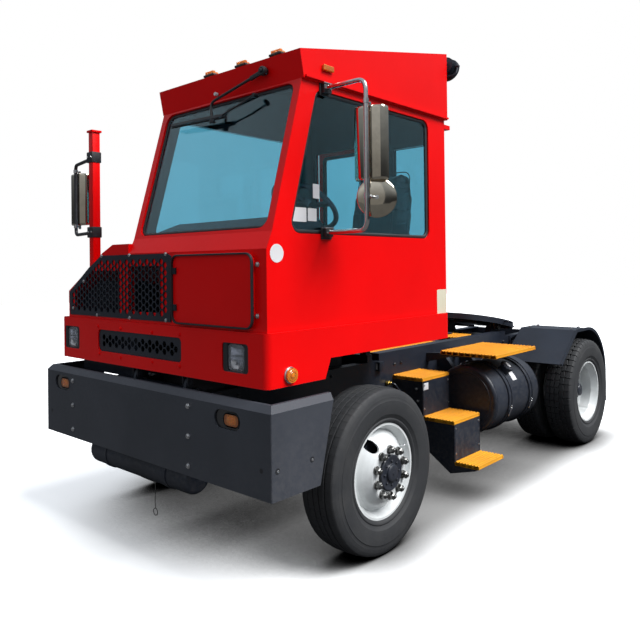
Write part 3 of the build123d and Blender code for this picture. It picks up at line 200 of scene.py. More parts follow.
def makeWorld(values):
    world = bpy.data.worlds.new("studio")
    scene.world = world
    world.use_nodes = True
    world.node_tree.nodes.clear()
    sky = Nodes(world.node_tree)
    place = sky.add("ShaderNodeTexCoord").outputs["Generated"]
    height = sky.add("ShaderNodeSeparateXYZ", {0: place}).outputs["Z"]
    strength = sky.range(height, *values["skyRise"], *values["skyStrength"], "SMOOTHSTEP")
    light = sky.add("ShaderNodeBackground", {"Color": values["skyColour"], "Strength": strength})
    white = sky.add("ShaderNodeBackground", {"Color": (1, 1, 1)})
    both = sky.add("ShaderNodeMixShader", {0: sky.seen(), 1: light.outputs[0], 2: white.outputs[0]})
    sky.add("ShaderNodeOutputWorld", {0: both.outputs[0]})


def makeFloor(values):
    half = values["floorSize"] / 2
    mesh = bpy.data.meshes.new("floor")
    mesh.from_pydata([(-half, -half, 0), (half, -half, 0), (half, half, 0), (-half, half, 0)], [], [(0, 1, 2, 3)])
    floor = bpy.data.objects.new("floor", mesh)
    scene.collection.objects.link(floor)
    surface = Surface("floor", **{"Roughness": 1.0, "Specular IOR Level": 0.0, "Emission Color": (1, 1, 1)})
    # Painted shadow: ambient occlusion darkens the floor's colour and its glow near the truck.
    openness = surface.add("ShaderNodeAmbientOcclusion", {"Distance": values["contactShadowReach"]},
                           samples=values["contactShadowSamples"]).outputs["AO"]
    shade = surface.range(openness, *values["contactShadow"], 0.0, 1.0, "SMOOTHSTEP")
    # Painted shadow: a soft box under the truck's footprint darkens the floor's colour, not its glow.
    here = surface.add("ShaderNodeNewGeometry").outputs["Position"]
    for operation, point in (("SUBTRACT", values["footShadowCentre"]), ("ABSOLUTE", (0, 0, 0)),
                             ("SUBTRACT", values["footShadowHalf"])):
        here = surface.add("ShaderNodeVectorMath", {0: here, 1: point}, operation=operation).outputs[0]
    split = surface.add("ShaderNodeSeparateXYZ", {0: here}).outputs
    far = surface.sum("SMOOTH_MAX", split[0], split[1], values["footShadowBend"])
    footShadow = surface.range(far, *values["footShadowSpread"], values["footShadowLeast"], 1.0, "SMOOTHSTEP")
    tint = surface.mix(surface.seen(), values["floorBounce"], values["floorColour"])
    surface.set("Base Color", surface.mix(surface.times(shade, footShadow), (0.0, 0.0, 0.0), tint))
    surface.set("Emission Strength", surface.times(surface.times(shade, surface.seen()), values["floorLift"]))
    mesh.materials.append(surface.material)


makeWorld(stageValues)
makeFloor(stageValues)
for name in ("key", "fill"):
    makeSun(name, *stageValues[name])
scene.view_settings.view_transform = "Standard"
print("stage done")

# Materials
paintValues = {
    "red": {"colour": (0.80, 0.0006, 0.0012), "deep": (0.74, 0.0005, 0.001), "rough": (0.30, 0.40), "shine": 0.2},
    "charcoal": {"colour": (0.046, 0.050, 0.062), "deep": (0.036, 0.040, 0.050), "rough": (0.45, 0.6)},
    "black": {"colour": (0.017, 0.022, 0.034), "deep": (0.010, 0.013, 0.021), "rough": (0.34, 0.48)},
    "yellow": {"colour": (0.74, 0.34, 0.012), "deep": (0.62, 0.25, 0.008), "rough": (0.5, 0.68)},
    "white": {"colour": (0.68, 0.70, 0.70), "deep": (0.60, 0.62, 0.62), "rough": (0.28, 0.4), "coat": 0.25},
    "trim": {"colour": (0.045, 0.052, 0.066), "deep": (0.03, 0.036, 0.046), "rough": (0.6, 0.75)},
    "hub": {"colour": (0.020, 0.024, 0.034), "deep": (0.014, 0.016, 0.024), "rough": (0.3, 0.45), "coat": 0.2},
    "iron": {"colour": (0.05, 0.05, 0.055), "deep": (0.025, 0.022, 0.02), "rough": (0.5, 0.75)},
    "label": {"colour": (0.72, 0.70, 0.70), "deep": (0.60, 0.60, 0.62), "rough": (0.3, 0.5), "coat": 0.1},
    "cream": {"colour": (0.70, 0.66, 0.52), "deep": (0.62, 0.56, 0.42), "rough": (0.3, 0.5), "coat": 0.1},
    "slot": {"colour": (0.30, 0.085, 0.015), "deep": (0.22, 0.06, 0.012), "rough": (0.2, 0.3), "coat": 0.6},
    "dash": {"colour": (0.085, 0.030, 0.042), "deep": (0.060, 0.022, 0.032), "rough": (0.5, 0.65)},
}
metalValues = {
    "chrome": ((0.85, 0.85, 0.86), 0.08, 90), "brightSteel": ((0.62, 0.62, 0.63), 0.35, 160),
    "darkSteel": ((0.10, 0.10, 0.105), 0.42, 120), "brassMetal": ((0.55, 0.38, 0.10), 0.35, 120),
    # the mirror-shell chrome's warm brown colour is a painted reflection of the surroundings
    "smokedChrome": ((0.16, 0.17, 0.20), 0.25, 30), "warmReflectionChrome": ((0.56, 0.50, 0.40), 0.08, 12),
    "tubeChrome": ((0.62, 0.61, 0.60), 0.20, 60), "nutSteel": ((0.17, 0.17, 0.165), 0.36, 140),
}
axleLow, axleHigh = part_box("rim_front_left")
axleY, axleZ = (axleLow.y + axleHigh.y) / 2, (axleLow.z + axleHigh.z) / 2
rearAxleY = sum(corner.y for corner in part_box("rims_rear_left")) / 2
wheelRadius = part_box("tyre_front_left")[1].z / 2
twinMiddle = sum(corner.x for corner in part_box("tyres_rear_left")) / 2


def paint(name, key, dust=0.5, rules=None):
    values = paintValues[key]
    surface = Surface(name, **{"Coat Weight": values.get("coat", 0.0), "Coat Roughness": 0.12,
                               "Specular IOR Level": values.get("shine", 0.4)})
    colour = surface.mix(surface.range(surface.noise(1.7, 3), 0.35, 0.65), values["deep"], values["colour"])
    speck = surface.noise(34.0, 6, 0.7)
    low = surface.range(surface.axis("Z"), 1.1, 0.15, 0.0, dust)
    film = surface.times(low, surface.range(speck, 0.42, 0.72))
    colour = surface.mix(film, colour, (0.22, 0.20, 0.18))
    for mask, other in (rules(surface) if rules else []):
        colour = surface.mix(mask, colour, other)
    surface.set("Base Color", colour)
    surface.set("Roughness", surface.sum("ADD", surface.range(speck, 0.3, 0.7, *values["rough"]),
                                         surface.times(film, 0.4)))
    surface.bump(surface.noise(420.0, 2), 0.06, 0.0004)
    return surface.material


def metalMaterial(name, colour, rough, grain):
    surface = Surface(name, Metallic=1.0)
    fine = surface.noise(grain, 5, 0.7)
    surface.set("Base Color", surface.mix(surface.range(fine, 0.3, 0.7), tuple(c * 0.8 for c in colour), colour))
    surface.set("Roughness", surface.range(surface.noise(9.0, 4), 0.3, 0.7, rough * 0.7, rough * 1.3))
    surface.bump(fine, 0.05, 0.0005)
    return surface.material


def lensMaterial(name, colour, ribs):
    surface = Surface(name, **{"Coat Weight": 1.0, "Coat Roughness": 0.03, "Subsurface Weight": 0.3})
    wave = surface.add("ShaderNodeTexWave", {"Scale": ribs, "Vector": surface.place}).outputs["Fac"]
    surface.set("Base Color", surface.mix(wave, tuple(c * 0.55 for c in colour), colour))
    surface.set("Roughness", surface.range(wave, 0, 1, 0.12, 0.2))
    surface.bump(wave, 0.4, 0.002)
    return surface.material


def glassMaterial(name, colour):
    surface = Surface(name, **{"Transmission Weight": 1.0, "IOR": 1.45})
    smear = surface.noise(3.0, 3)
    surface.set("Base Color", surface.mix(surface.range(smear, 0.3, 0.7), colour, tuple(c * 0.97 for c in colour)))
    surface.set("Roughness", surface.range(smear, 0.4, 0.7, 0.0, 0.02))
    return surface.material


def rubberMaterial():
    surface = Surface("tyreRubber")
    fine = surface.noise(60.0, 6, 0.7)
    colour = surface.mix(surface.range(fine, 0.3, 0.7), (0.016, 0.017, 0.019), (0.026, 0.027, 0.030))
    dusty = surface.range(surface.noise(5.0, 4), 0.45, 0.75, 0, 0.3)
    surface.set("Base Color", surface.mix(dusty, colour, (0.06, 0.058, 0.055)))
    surface.set("Roughness", surface.range(fine, 0.3, 0.7, 0.62, 0.82))
    surface.bump(fine, 0.25, 0.002)
    return surface.material


def sealMaterial():
    surface = Surface("sealRubber")
    grain = surface.noise(180.0, 4, 0.7)
    grain = surface.range(grain, 0.3, 0.7)
    surface.set("Base Color", surface.mix(grain, (0.009, 0.010, 0.012), (0.016, 0.017, 0.021)))
    surface.set("Roughness", surface.range(surface.noise(20.0, 3), 0.3, 0.7, 0.42, 0.6))
    surface.bump(grain, 0.1, 0.0006)
    return surface.material


def lampMaterial():
    surface = Surface("lampGlass", **{"IOR": 1.5, "Transmission Weight": 0.82})
    fine = surface.noise(40.0, 4)
    surface.set("Roughness", surface.range(fine, 0.3, 0.7, 0.06, 0.12))
    glow = surface.range(surface.noise(9.0, 2), 0.35, 0.65)
    surface.set("Base Color", surface.mix(glow, (0.42, 0.44, 0.47), (0.62, 0.64, 0.68)))
    surface.bump(fine, 0.05, 0.0004)
    return surface.material


def wornMask(surface):
    rubbed = surface.range(surface.noise(26.0, 6, 0.7), 0.56, 0.70)
    return [(surface.times(rubbed, 0.55), (0.34, 0.20, 0.06))]


def hubMask(y, plane, drumPlane, reach=0.172, bore=0.1105, drum=0.2075):
    def rules(surface):
        sides = surface.sum("ABSOLUTE", surface.axis("X"))
        dy = surface.sum("SUBTRACT", surface.axis("Y"), y)
        dz = surface.sum("SUBTRACT", surface.axis("Z"), wheelRadius)
        radius = surface.sum("SQRT", surface.sum("ADD", surface.times(dy, dy), surface.times(dz, dz)))
        raised = surface.times(surface.more(sides, plane), surface.less(radius, reach))
        deep = surface.times(surface.less(sides, drumPlane), surface.less(radius, drum))
        dark = surface.most(surface.most(raised, surface.less(radius, bore)), deep)
        grime = surface.range(surface.noise(7.0, 5), 0.5, 0.8, 0.0, 0.35)
        return [(grime, (0.36, 0.35, 0.34)), (dark, (0.018, 0.020, 0.026))]
    return rules


cabValues = {"left": 1.105, "right": -0.228, "front": -0.935, "rear": 0.849, "foot": (-0.893, 2.0), "lean": 0.2803,
             "roofFront": (-0.680, 3.024), "roofLean": 0.2137, "sill": 1.895}


# Painted shade: the cab shell's inside faces below the sill and behind the windscreen, and the roof's underside, are
# painted near-black; cab-shell faces more than 4 mm ahead of its front face get the same near-black.
def cabInteriorShadeMask(values, roof=False):
    def rules(surface):
        x, z, y = surface.axis("X"), surface.axis("Z"), surface.behind()
        within = surface.times(surface.more(x, values["right"] + 0.020), surface.less(x, values["left"] - 0.018))
        within = surface.times(within, surface.less(y, values["rear"] - 0.020))
        foot, start = values["foot"], values["roofFront"]
        if roof:
            ceiling = surface.less(surface.sum("MULTIPLY_ADD", y, -values["roofLean"], z),
                                   start[1] - start[0] * values["roofLean"] - 0.022)
            inner = surface.times(surface.times(within, ceiling), surface.more(y, start[0] + 0.05))
            # painted shade on the roof's inside faces
            return [(inner, (0.030, 0.032, 0.038))]
        screen = surface.more(surface.sum("MULTIPLY_ADD", z, -values["lean"], y),
                              foot[0] - foot[1] * values["lean"] + 0.030)
        low = surface.times(surface.less(z, values["sill"]), surface.more(y, values["front"] + 0.010))
        high = surface.times(screen, surface.more(z, values["sill"]))
        inner = surface.times(within, surface.most(high, low))
        # painted shade on the cab's inside faces
        return [(surface.most(inner, surface.less(y, values["front"] - 0.004)), (0.022, 0.024, 0.030))]
    return rules


# Painted shade: the band's inner faces behind its front face and its faces below 1.160 m are painted near-black.
def bandShadeMask(surface):
    sides = surface.less(surface.sum("ABSOLUTE", surface.axis("X")), 1.108)
    inner = surface.times(sides, surface.more(surface.behind(), -0.938))
    return [(surface.most(inner, surface.less(surface.axis("Z"), 1.160)), (0.018, 0.019, 0.024))]


def hatchMask(surface):
    hinges = surface.times(surface.less(surface.axis("X"), 0.345), surface.less(surface.behind(), -0.9545))
    return [(surface.most(hinges, surface.less(surface.axis("X"), 0.291)), (0.016, 0.018, 0.024))]


def slotMask(surface):
    return [(surface.more(surface.behind(), -1.0125), (0.008, 0.008, 0.010))]


chrome, brightSteel, darkSteel, brassMetal, smokedChrome, warmReflectionChrome, tubeChrome, nutSteel = (
    metalMaterial(name, *values) for name, values in metalValues.items())
tyreRubber, sealRubber, lampGlass = rubberMaterial(), sealMaterial(), lampMaterial()
windowGlass = glassMaterial("windowGlass", (0.30, 0.60, 0.71))
clearLens, amberLens, redLens = (lensMaterial(name, colour, 60) for name, colour in (
    ("clearLens", (0.55, 0.58, 0.62)), ("amberLens", (0.75, 0.20, 0.01)), ("redLens", (0.45, 0.01, 0.01))))
redPaint, blackPaint = paint("redPaint", "red", 0.12), paint("blackPaint", "black", 0.25)
yellowPaint = paint("yellowPaint", "yellow", 0.2)
whitePaint, trimPlastic = paint("whitePaint", "white", 0.15), paint("trimPlastic", "trim", 0.1)
labelPaint, creamPaint = paint("labelPaint", "label", 0.0), paint("creamPaint", "cream", 0.0)
treadPaint, hubPaint = paint("treadPaint", "yellow", 0.1, wornMask), paint("hubPaint", "hub", 0.1)
finishes = {
    "red_paint": redPaint, "charcoal_paint": paint("charcoalPaint", "charcoal", 0.2), "black_paint": blackPaint,
    "yellow_paint": yellowPaint, "white_paint": whitePaint, "tyre_rubber": tyreRubber,
    "window_glass": windowGlass, "clear_lens": clearLens, "amber_lens": amberLens, "red_lens": redLens,
    "cast_iron": paint("castIron", "iron", 0.4), "bright_steel": brightSteel, "chrome": chrome,
    "seat_fabric": trimPlastic, "dash_plastic": trimPlastic,
}
frontPaint = paint("frontRimPaint", "white", 0.15, hubMask(axleY, axleHigh.x - 0.029, axleHigh.x - 0.128))
rearPaint = paint("rearRimPaint", "white", 0.15, hubMask(rearAxleY, twinMiddle + 0.014, twinMiddle - 0.016))
ownFinish = {
    "rim_front_left": frontPaint, "rim_front_right": frontPaint, "rims_rear_left": rearPaint,
    "rims_rear_right": rearPaint, "cab_shell": paint("cabPaint", "red", 0.12, cabInteriorShadeMask(cabValues)),
    "roof": paint("roofPaint", "red", 0.12, cabInteriorShadeMask(cabValues, True)),
    "lower_band": paint("bandPaint", "red", 0.12, bandShadeMask),
    "access_door": paint("hatchPaint", "red", 0.12, hatchMask),
    "bumper_lamps": paint("slotPaint", "slot", 0.0, slotMask), "dashboard": paint("dashPaint", "dash", 0.0),
}
for part in frame["record"]["subparts"]:
    data = nodeObjects[part["node"]].data
    data.materials.clear()
    data.materials.append(ownFinish.get(part["node"], finishes[part["material_slot"]]))
print("materials done")

# Building pieces
def at(x, y, z):
    return Vector((x / 1000, axleY + y / 1000, z / 1000))


def rounded(points, bend, closed=False, steps=6):
    points = [Vector(p) for p in points]
    count = len(points)
    line = []
    for i, corner in enumerate(points):
        if not closed and i in (0, count - 1):
            line.append(corner)
            continue
        before, after = points[i - 1] - corner, points[(i + 1) % count] - corner
        first = corner + before.normalized() * min(bend, before.length * 0.48)
        last = corner + after.normalized() * min(bend, after.length * 0.48)
        for step in range(steps + 1):
            t = step / steps
            line.append(first.lerp(corner, t).lerp(corner.lerp(last, t), t))
    return line


def ring(radius, sides, squeeze=1.0):
    return [(radius * math.cos(2 * math.pi * i / sides), squeeze * radius * math.sin(2 * math.pi * i / sides))
            for i in range(sides)]


class Shape:
    def __init__(self):
        self.mesh = bmesh.new()

    def block(self, centre, size, bevel=0.003, turn=None, segments=2):
        made = bmesh.ops.create_cube(self.mesh, size=1.0)["verts"]
        turn = (turn or Matrix.Identity(3)).to_quaternion()
        bmesh.ops.transform(self.mesh, verts=made, matrix=Matrix.LocRotScale(Vector(centre), turn, Vector(size)))
        edges = list(dict.fromkeys(edge for vert in made for edge in vert.link_edges))
        bmesh.ops.bevel(self.mesh, geom=edges, offset=bevel, segments=segments, profile=0.6, affect="EDGES")
        return self

    def span(self, low, high, bevel=0.003):
        low, high = Vector(low), Vector(high)
        size = Vector([abs(a - b) for a, b in zip(high, low)])
        return self.block((low + high) / 2, size, bevel)

    def skin(self, rings, closed=False, caps=True):
        pairs = list(zip(rings, rings[1:])) + ([(rings[-1], rings[0])] if closed else [])
        for first, last in pairs:
            sides = max(len(first), len(last))
            for i in range(sides):
                j = (i + 1) % sides
                corners = (first[i % len(first)], first[j % len(first)], last[j % len(last)], last[i % len(last)])
                corners = list(dict.fromkeys(corners))
                if len(corners) > 2:
                    self.mesh.faces.new(corners)
        if caps and not closed:
            for end in (rings[0], rings[-1]):
                if len(end) > 2:
                    self.mesh.faces.new(end)

    def lathe(self, origin, axis, profile, sides=32, closed=False):
        axis = Vector(axis).normalized()
        first = axis.orthogonal().normalized()
        second = axis.cross(first)
        rings = []
        for along, radius in profile:
            centre = Vector(origin) + axis * along
            if radius < 1e-6:
                rings.append([self.mesh.verts.new(centre)])
            else:
                rings.append([self.mesh.verts.new(centre + first * u + second * v) for u, v in ring(radius, sides)])
        self.skin(rings, closed)
        return self

    def rod(self, start, end, radius, sides=20, soft=0.2):
        start, end = Vector(start), Vector(end)
        length, edge = (end - start).length, min(radius * soft, (end - start).length * 0.4)
        return self.lathe(start, end - start, [(0, radius - edge), (edge, radius), (length - edge, radius),
                                               (length, radius - edge)], sides)

    def sweep(self, line, section, normal=None, closed=False):
        count = len(line)
        side = None
        rings = []
        for i, point in enumerate(line):
            before = line[i - 1] if closed or i else point
            after = line[(i + 1) % count] if closed or i < count - 1 else point
            ahead = (after - before).normalized()
            if normal is None:
                side = ahead.orthogonal().normalized() if side is None else \
                    (side - ahead * side.dot(ahead)).normalized()
                up = side
            else:
                up = Vector(normal)
            out = ahead.cross(up).normalized()
            rings.append([self.mesh.verts.new(point + out * u + up * v) for u, v in section])
        self.skin(rings, closed)
        return self

    def tube(self, points, radius, bend=0.04, sides=14):
        return self.sweep(rounded(points, bend), ring(radius, sides))

    def plate(self, outline, thickness, bevel=0.0):
        outline = [Vector(p) for p in outline]
        normal = (outline[1] - outline[0]).cross(outline[2] - outline[1]).normalized()
        rings = [[self.mesh.verts.new(p + normal * offset) for p in outline] for offset in (0, thickness)]
        self.skin(rings)
        if bevel:
            edges = [edge for level in rings for edge in
                     dict.fromkeys(e for v in level for e in v.link_edges if e.other_vert(v) in level)]
            bmesh.ops.bevel(self.mesh, geom=edges, offset=bevel, segments=2, profile=0.6, affect="EDGES")
        return self

    def data(self, name, material, sharp=32):
        bmesh.ops.recalc_face_normals(self.mesh, faces=self.mesh.faces)
        mesh = bpy.data.meshes.new(name)
        self.mesh.to_mesh(mesh)
        self.mesh.free()
        mesh.shade_smooth()
        mesh.set_sharp_from_angle(angle=math.radians(sharp))
        mesh.materials.append(material)
        return mesh

    def piece(self, name, body, material, slot, sharp=32):
        return placed(self.data(name, material, sharp), name, body)


def placed(mesh, name, body):
    piece = bpy.data.objects.new(name, mesh)
    scene.collection.objects.link(piece)
    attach(piece, body)
    return piece


def copiesTree():
    tree = bpy.data.node_groups.new("copies", "GeometryNodeTree")
    face = tree.interface
    face.new_socket("Geometry", in_out="INPUT", socket_type="NodeSocketGeometry")
    for label, kind in (("Model", "NodeSocketObject"), ("Finish", "NodeSocketMaterial"), ("Scale", "NodeSocketFloat"),
                        ("Spin", "NodeSocketFloat"), ("Seed", "NodeSocketInt")):
        face.new_socket(label, in_out="INPUT", socket_type=kind)
    face.new_socket("Geometry", in_out="OUTPUT", socket_type="NodeSocketGeometry")
    nodes = Nodes(tree)
    given = nodes.add("NodeGroupInput").outputs
    model = nodes.add("GeometryNodeObjectInfo", {"Object": given["Model"]}).outputs["Geometry"]
    facing, along = (nodes.add("GeometryNodeInputNamedAttribute", {"Name": label}, data_type="FLOAT_VECTOR")
                     .outputs["Attribute"] for label in ("facing", "along"))
    axes = nodes.add("FunctionNodeAxesToRotation", {"Primary Axis": facing, "Secondary Axis": along},
                     primary_axis="Z", secondary_axis="X").outputs[0]
    chance = nodes.add("FunctionNodeRandomValue", {3: given["Spin"], "Seed": given["Seed"]}, data_type="FLOAT")
    spin = nodes.add("FunctionNodeAxisAngleToRotation", {"Axis": (0, 0, 1), "Angle": chance.outputs[1]}).outputs[0]
    turn = nodes.add("FunctionNodeRotateRotation", {"Rotation": axes, "Rotate By": spin}, rotation_space="LOCAL")
    stamp = nodes.add("GeometryNodeInstanceOnPoints", {"Points": given["Geometry"], "Instance": model,
                                                       "Rotation": turn.outputs[0], "Scale": given["Scale"]})
    solid = nodes.add("GeometryNodeRealizeInstances", {0: stamp.outputs[0]}).outputs[0]
    finish = nodes.add("GeometryNodeSetMaterial", {"Geometry": solid, "Material": given["Finish"]}).outputs[0]
    nodes.add("NodeGroupOutput", {0: finish})
    return tree


copiesGroup = copiesTree()


def copiesOf(name, model, material, places, scale=1.0, spin=0.0, seed=1, sharp=32):
    carrier = bpy.data.meshes.new(name)
    carrier.from_pydata([tuple(place[0]) for place in places], [], [])
    for label, index in (("facing", 1), ("along", 2)):
        values = carrier.attributes.new(label, "FLOAT_VECTOR", "POINT")
        for i, place in enumerate(places):
            values.data[i].vector = place[index]
    holder = bpy.data.objects.new(name, carrier)
    scene.collection.objects.link(holder)
    changer = holder.modifiers.new("copies", "NODES")
    changer.node_group = copiesGroup
    given = {"Model": model, "Finish": material, "Scale": scale, "Spin": spin, "Seed": seed}
    for socket in copiesGroup.interface.items_tree:
        if socket.in_out == "INPUT" and socket.name in given:
            changer[socket.identifier] = given[socket.name]
    mesh = bpy.data.meshes.new_from_object(holder.evaluated_get(bpy.context.evaluated_depsgraph_get()))
    mesh.name = name
    mesh.shade_smooth()
    mesh.set_sharp_from_angle(angle=math.radians(sharp))
    bpy.data.objects.remove(holder)
    return mesh


def model(shape, name, material):
    made = bpy.data.objects.new(name, shape.data(name, material))
    scene.collection.objects.link(made)
    return made


def joined(name, body, slot, *parts):
    whole = bmesh.new()
    materials = []
    for mesh in parts:
        if isinstance(mesh, tuple):
            mesh = mesh[0].data(name, mesh[1])
        start = len(whole.faces)
        whole.from_mesh(mesh)
        whole.faces.ensure_lookup_table()
        for material in mesh.materials:
            if material not in materials:
                materials.append(material)
        for face in list(whole.faces)[start:]:
            face.material_index = materials.index(mesh.materials[face.material_index])
    mesh = bpy.data.meshes.new(name)
    whole.to_mesh(mesh)
    whole.free()
    for material in materials:
        mesh.materials.append(material)
    return placed(mesh, name, body)


def outlineOf(node, facing):
    mesh = nodeObjects[node].data
    facing = Vector(facing).normalized()
    flat = bmesh.new()
    flat.from_mesh(mesh)
    bmesh.ops.remove_doubles(flat, verts=flat.verts, dist=1e-5)
    faces = [face for face in flat.faces if face.normal.dot(facing) > 0.985]
    groups, seen = [], set()
    for face in faces:
        if face in seen:
            continue
        group, reach = [], [face]
        seen.add(face)
        while reach:
            current = reach.pop()
            group.append(current)
            for edge in current.edges:
                for other in edge.link_faces:
                    if other not in seen and other.normal.dot(facing) > 0.985:
                        seen.add(other)
                        reach.append(other)
        groups.append(group)
    group = dict.fromkeys(max(groups, key=lambda group: sum(face.calc_area() for face in group)))
    rim = [edge for face in group for edge in face.edges if sum(other in group for other in edge.link_faces) == 1]
    links = {}
    for edge in rim:
        for vert in edge.verts:
            links.setdefault(vert, []).append(edge)
    loops, left = [], dict.fromkeys(rim)
    while left:
        edge = left.popitem()[0]
        start, vert = edge.verts
        loop = [start.co.copy(), vert.co.copy()]
        while vert != start:
            edge = next(e for e in links[vert] if e in left)
            left.pop(edge)
            vert = edge.other_vert(vert)
            loop.append(vert.co.copy())
        loops.append(loop[:-1])
    normal = sum((face.normal * face.calc_area() for face in group), Vector()).normalized()
    flat.free()
    loop = max(loops, key=lambda loop: sum((a - b).length for a, b in zip(loop, loop[1:])))
    turning = sum(((a - loop[0]).cross(b - loop[0]).dot(normal) for a, b in zip(loop, loop[1:])))
    return (loop if turning > 0 else loop[::-1]), normal


def inset(loop, normal, distance):
    moved = []
    for before, point, after in zip(loop[-1:] + loop[:-1], loop, loop[1:] + loop[:1]):
        first, last = (point - before).normalized(), (after - point).normalized()
        inward = normal.cross(first + last).normalized()
        moved.append(point + inward * distance / max(0.4, inward.dot(normal.cross(first))))
    return moved


print("tools done")

# Tyres
tyreValues = {
    "front": {"pitches": 62, "gap": 0.022, "lean": 0.0, "edge": 0.0009,
              "ribs": ((0.0, 0.037), (0.0445, 0.038), (-0.0445, 0.038)), "shoulder": 0.071},
    "rear": {"pitches": 50, "gap": 0.13, "lean": 0.20, "edge": 0.002,
             "ribs": ((0.0, 0.040), (0.047, 0.038), (-0.047, 0.038)), "shoulder": 0.073},
    "depth": 0.013, "half": 0.1395, "radius": 0.518, "crown": 0.004, "bead": 0.286,
}


def carcass(shape, centre, values):
    half, outer, depth = values["half"], values["radius"], values["depth"]
    side = [(0.70, values["bead"]), (0.80, 0.300), (0.86, 0.306), (0.90, 0.318), (0.90, 0.323), (0.87, 0.328),
            (0.945, 0.352), (0.955, 0.3535), (0.96, 0.3565), (0.985, 0.385), (0.997, 0.405), (1.0, 0.425),
            (0.998, 0.440), (0.985, 0.4405), (0.975, 0.4445), (0.962, 0.460), (0.962, 0.4625), (0.955, 0.465),
            (0.93, 0.480), (0.88, 0.492), (0.80, outer - depth - 0.007)]
    profile = [(x * half, r) for x, r in side] + [(0.0, outer - depth)] + [(-x * half, r) for x, r in reversed(side)]
    shape.lathe(centre, (1, 0, 0), profile, 96, closed=True)


def treadPlaces(centre, count, turnFrom=0.0, lean=0.0, radius=0.0):
    places = []
    for n in range(count):
        angle = 2 * math.pi * n / count + turnFrom
        outward = Vector((0, math.cos(angle), math.sin(angle)))
        sideways = Vector((1, 0, 0))
        if lean:
            sideways = Matrix.Rotation(lean, 3, outward) @ sideways
        places.append((Vector(centre) + outward * radius, outward, sideways))
    return places


def treadModels(kind, values):
    some = values[kind]
    outer, depth = values["radius"], values["depth"]
    length = 2 * math.pi * outer / some["pitches"] * (1 - some["gap"])
    models = []
    for x, width in some["ribs"]:
        drop = values["crown"] * (x / 0.1) ** 2
        block = Shape().block((0, 0, -drop - depth * 0.5), (width, length, depth + 0.002), some["edge"], segments=1)
        models.append((x, model(block, "treadBlock", tyreRubber)))
    half = values["half"]
    for side in (-1, 1):
        section = [(some["shoulder"], -0.004), (half * 0.80, -0.0075), (half * 0.865, -0.014), (half * 0.93, -0.036),
                   (half * 0.955, -0.052), (half * 0.90, -0.052), (half * 0.80, -0.020), (some["shoulder"], -0.016)]
        corners = [(side * x, -length / 2, z) for x, z in section]
        block = Shape().plate(corners if side < 0 else corners[::-1], 0.0)
        block.mesh.clear()
        rings = [[block.mesh.verts.new((x, y, z)) for x, _, z in corners] for y in (-length / 2, length / 2)]
        block.skin(rings)
        bmesh.ops.bevel(block.mesh, geom=list(block.mesh.edges), offset=some["edge"], segments=1, affect="EDGES")
        models.append((0.0, model(block, "shoulderBlock", tyreRubber)))
    return models


def makeTyres(name, body, node, kind, values):
    low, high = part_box(node)
    middle = (low + high) / 2
    spread = (high.x - low.x) / 2 - values["half"]
    centres = [middle] if spread < 0.01 else [middle + Vector((s * spread, 0, 0)) for s in (-1, 1)]
    some = values[kind]
    shape = Shape()
    for centre in centres:
        carcass(shape, centre, values)
    meshes = [shape.data(name, tyreRubber, 40)]
    for number, (x, block) in enumerate(treadModels(kind, values)):
        places = []
        for centre in centres:
            lean = some["lean"] * (1 if number % 2 else -1)
            offset = math.pi / some["pitches"] * (number % 3)
            places += treadPlaces(centre + Vector((x, 0, 0)), some["pitches"], offset, lean if number < 3 else 0,
                                  values["radius"])
        meshes.append(copiesOf(name, block, tyreRubber, places))
        bpy.data.objects.remove(block)
    tyre = joined(name, body, "tyre_rubber", *meshes)
    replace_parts(tyre, node)


for word, kind in (("tyre", "front"), ("tyres", "rear")):
    for side in ("left", "right"):
        body = ("wheel" if kind == "front" else "wheels") + f"_{kind}_{side[0]}"
        makeTyres(word + kind.title() + side.title(), body, f"{word}_{kind}_{side}", kind, tyreValues)
print("tyres done")

# Wheel nuts and hubs
hubValues = {"circle": 0.142875, "nuts": 10, "across": 0.0225, "height": 0.031, "washer": 0.027, "stud": 0.012}
hubProfiles = {
    "front": [(0.0, 0.108), (0.012, 0.108), (0.015, 0.105), (0.016, 0.094), (0.013, 0.088), (0.013, 0.058),
              (0.016, 0.054), (0.026, 0.052), (0.030, 0.047), (0.032, 0.036), (0.032, 0.012), (0.035, 0.011),
              (0.035, 0.0)],
    "rear": [(-0.012, 0.112), (0.0, 0.112), (0.004, 0.108), (0.005, 0.080), (0.012, 0.076), (0.026, 0.074),
             (0.030, 0.070), (0.031, 0.060), (0.052, 0.057), (0.058, 0.051), (0.060, 0.040), (0.060, 0.02),
             (0.066, 0.018), (0.066, 0.0)],
}


def nutModel(values):
    shape = Shape()
    shape.lathe((0, 0, 0), (0, 0, 1), [(-0.002, values["washer"]), (0.004, values["washer"]),
                                       (0.006, values["washer"] - 0.003)], 20)
    across = values["across"]
    shape.lathe((0, 0, 0.005), (0, 0, 1), [(0, across - 0.001), (0.002, across), (values["height"] - 0.007, across),
                                           (values["height"], across * 0.72)], 6)
    stud = values["stud"]
    shape.lathe((0, 0, 0.005), (0, 0, 1), [(0, stud), (values["height"] + 0.006, stud),
                                           (values["height"] + 0.009, stud * 0.7)], 12)
    return model(shape, "wheelNut", nutSteel)


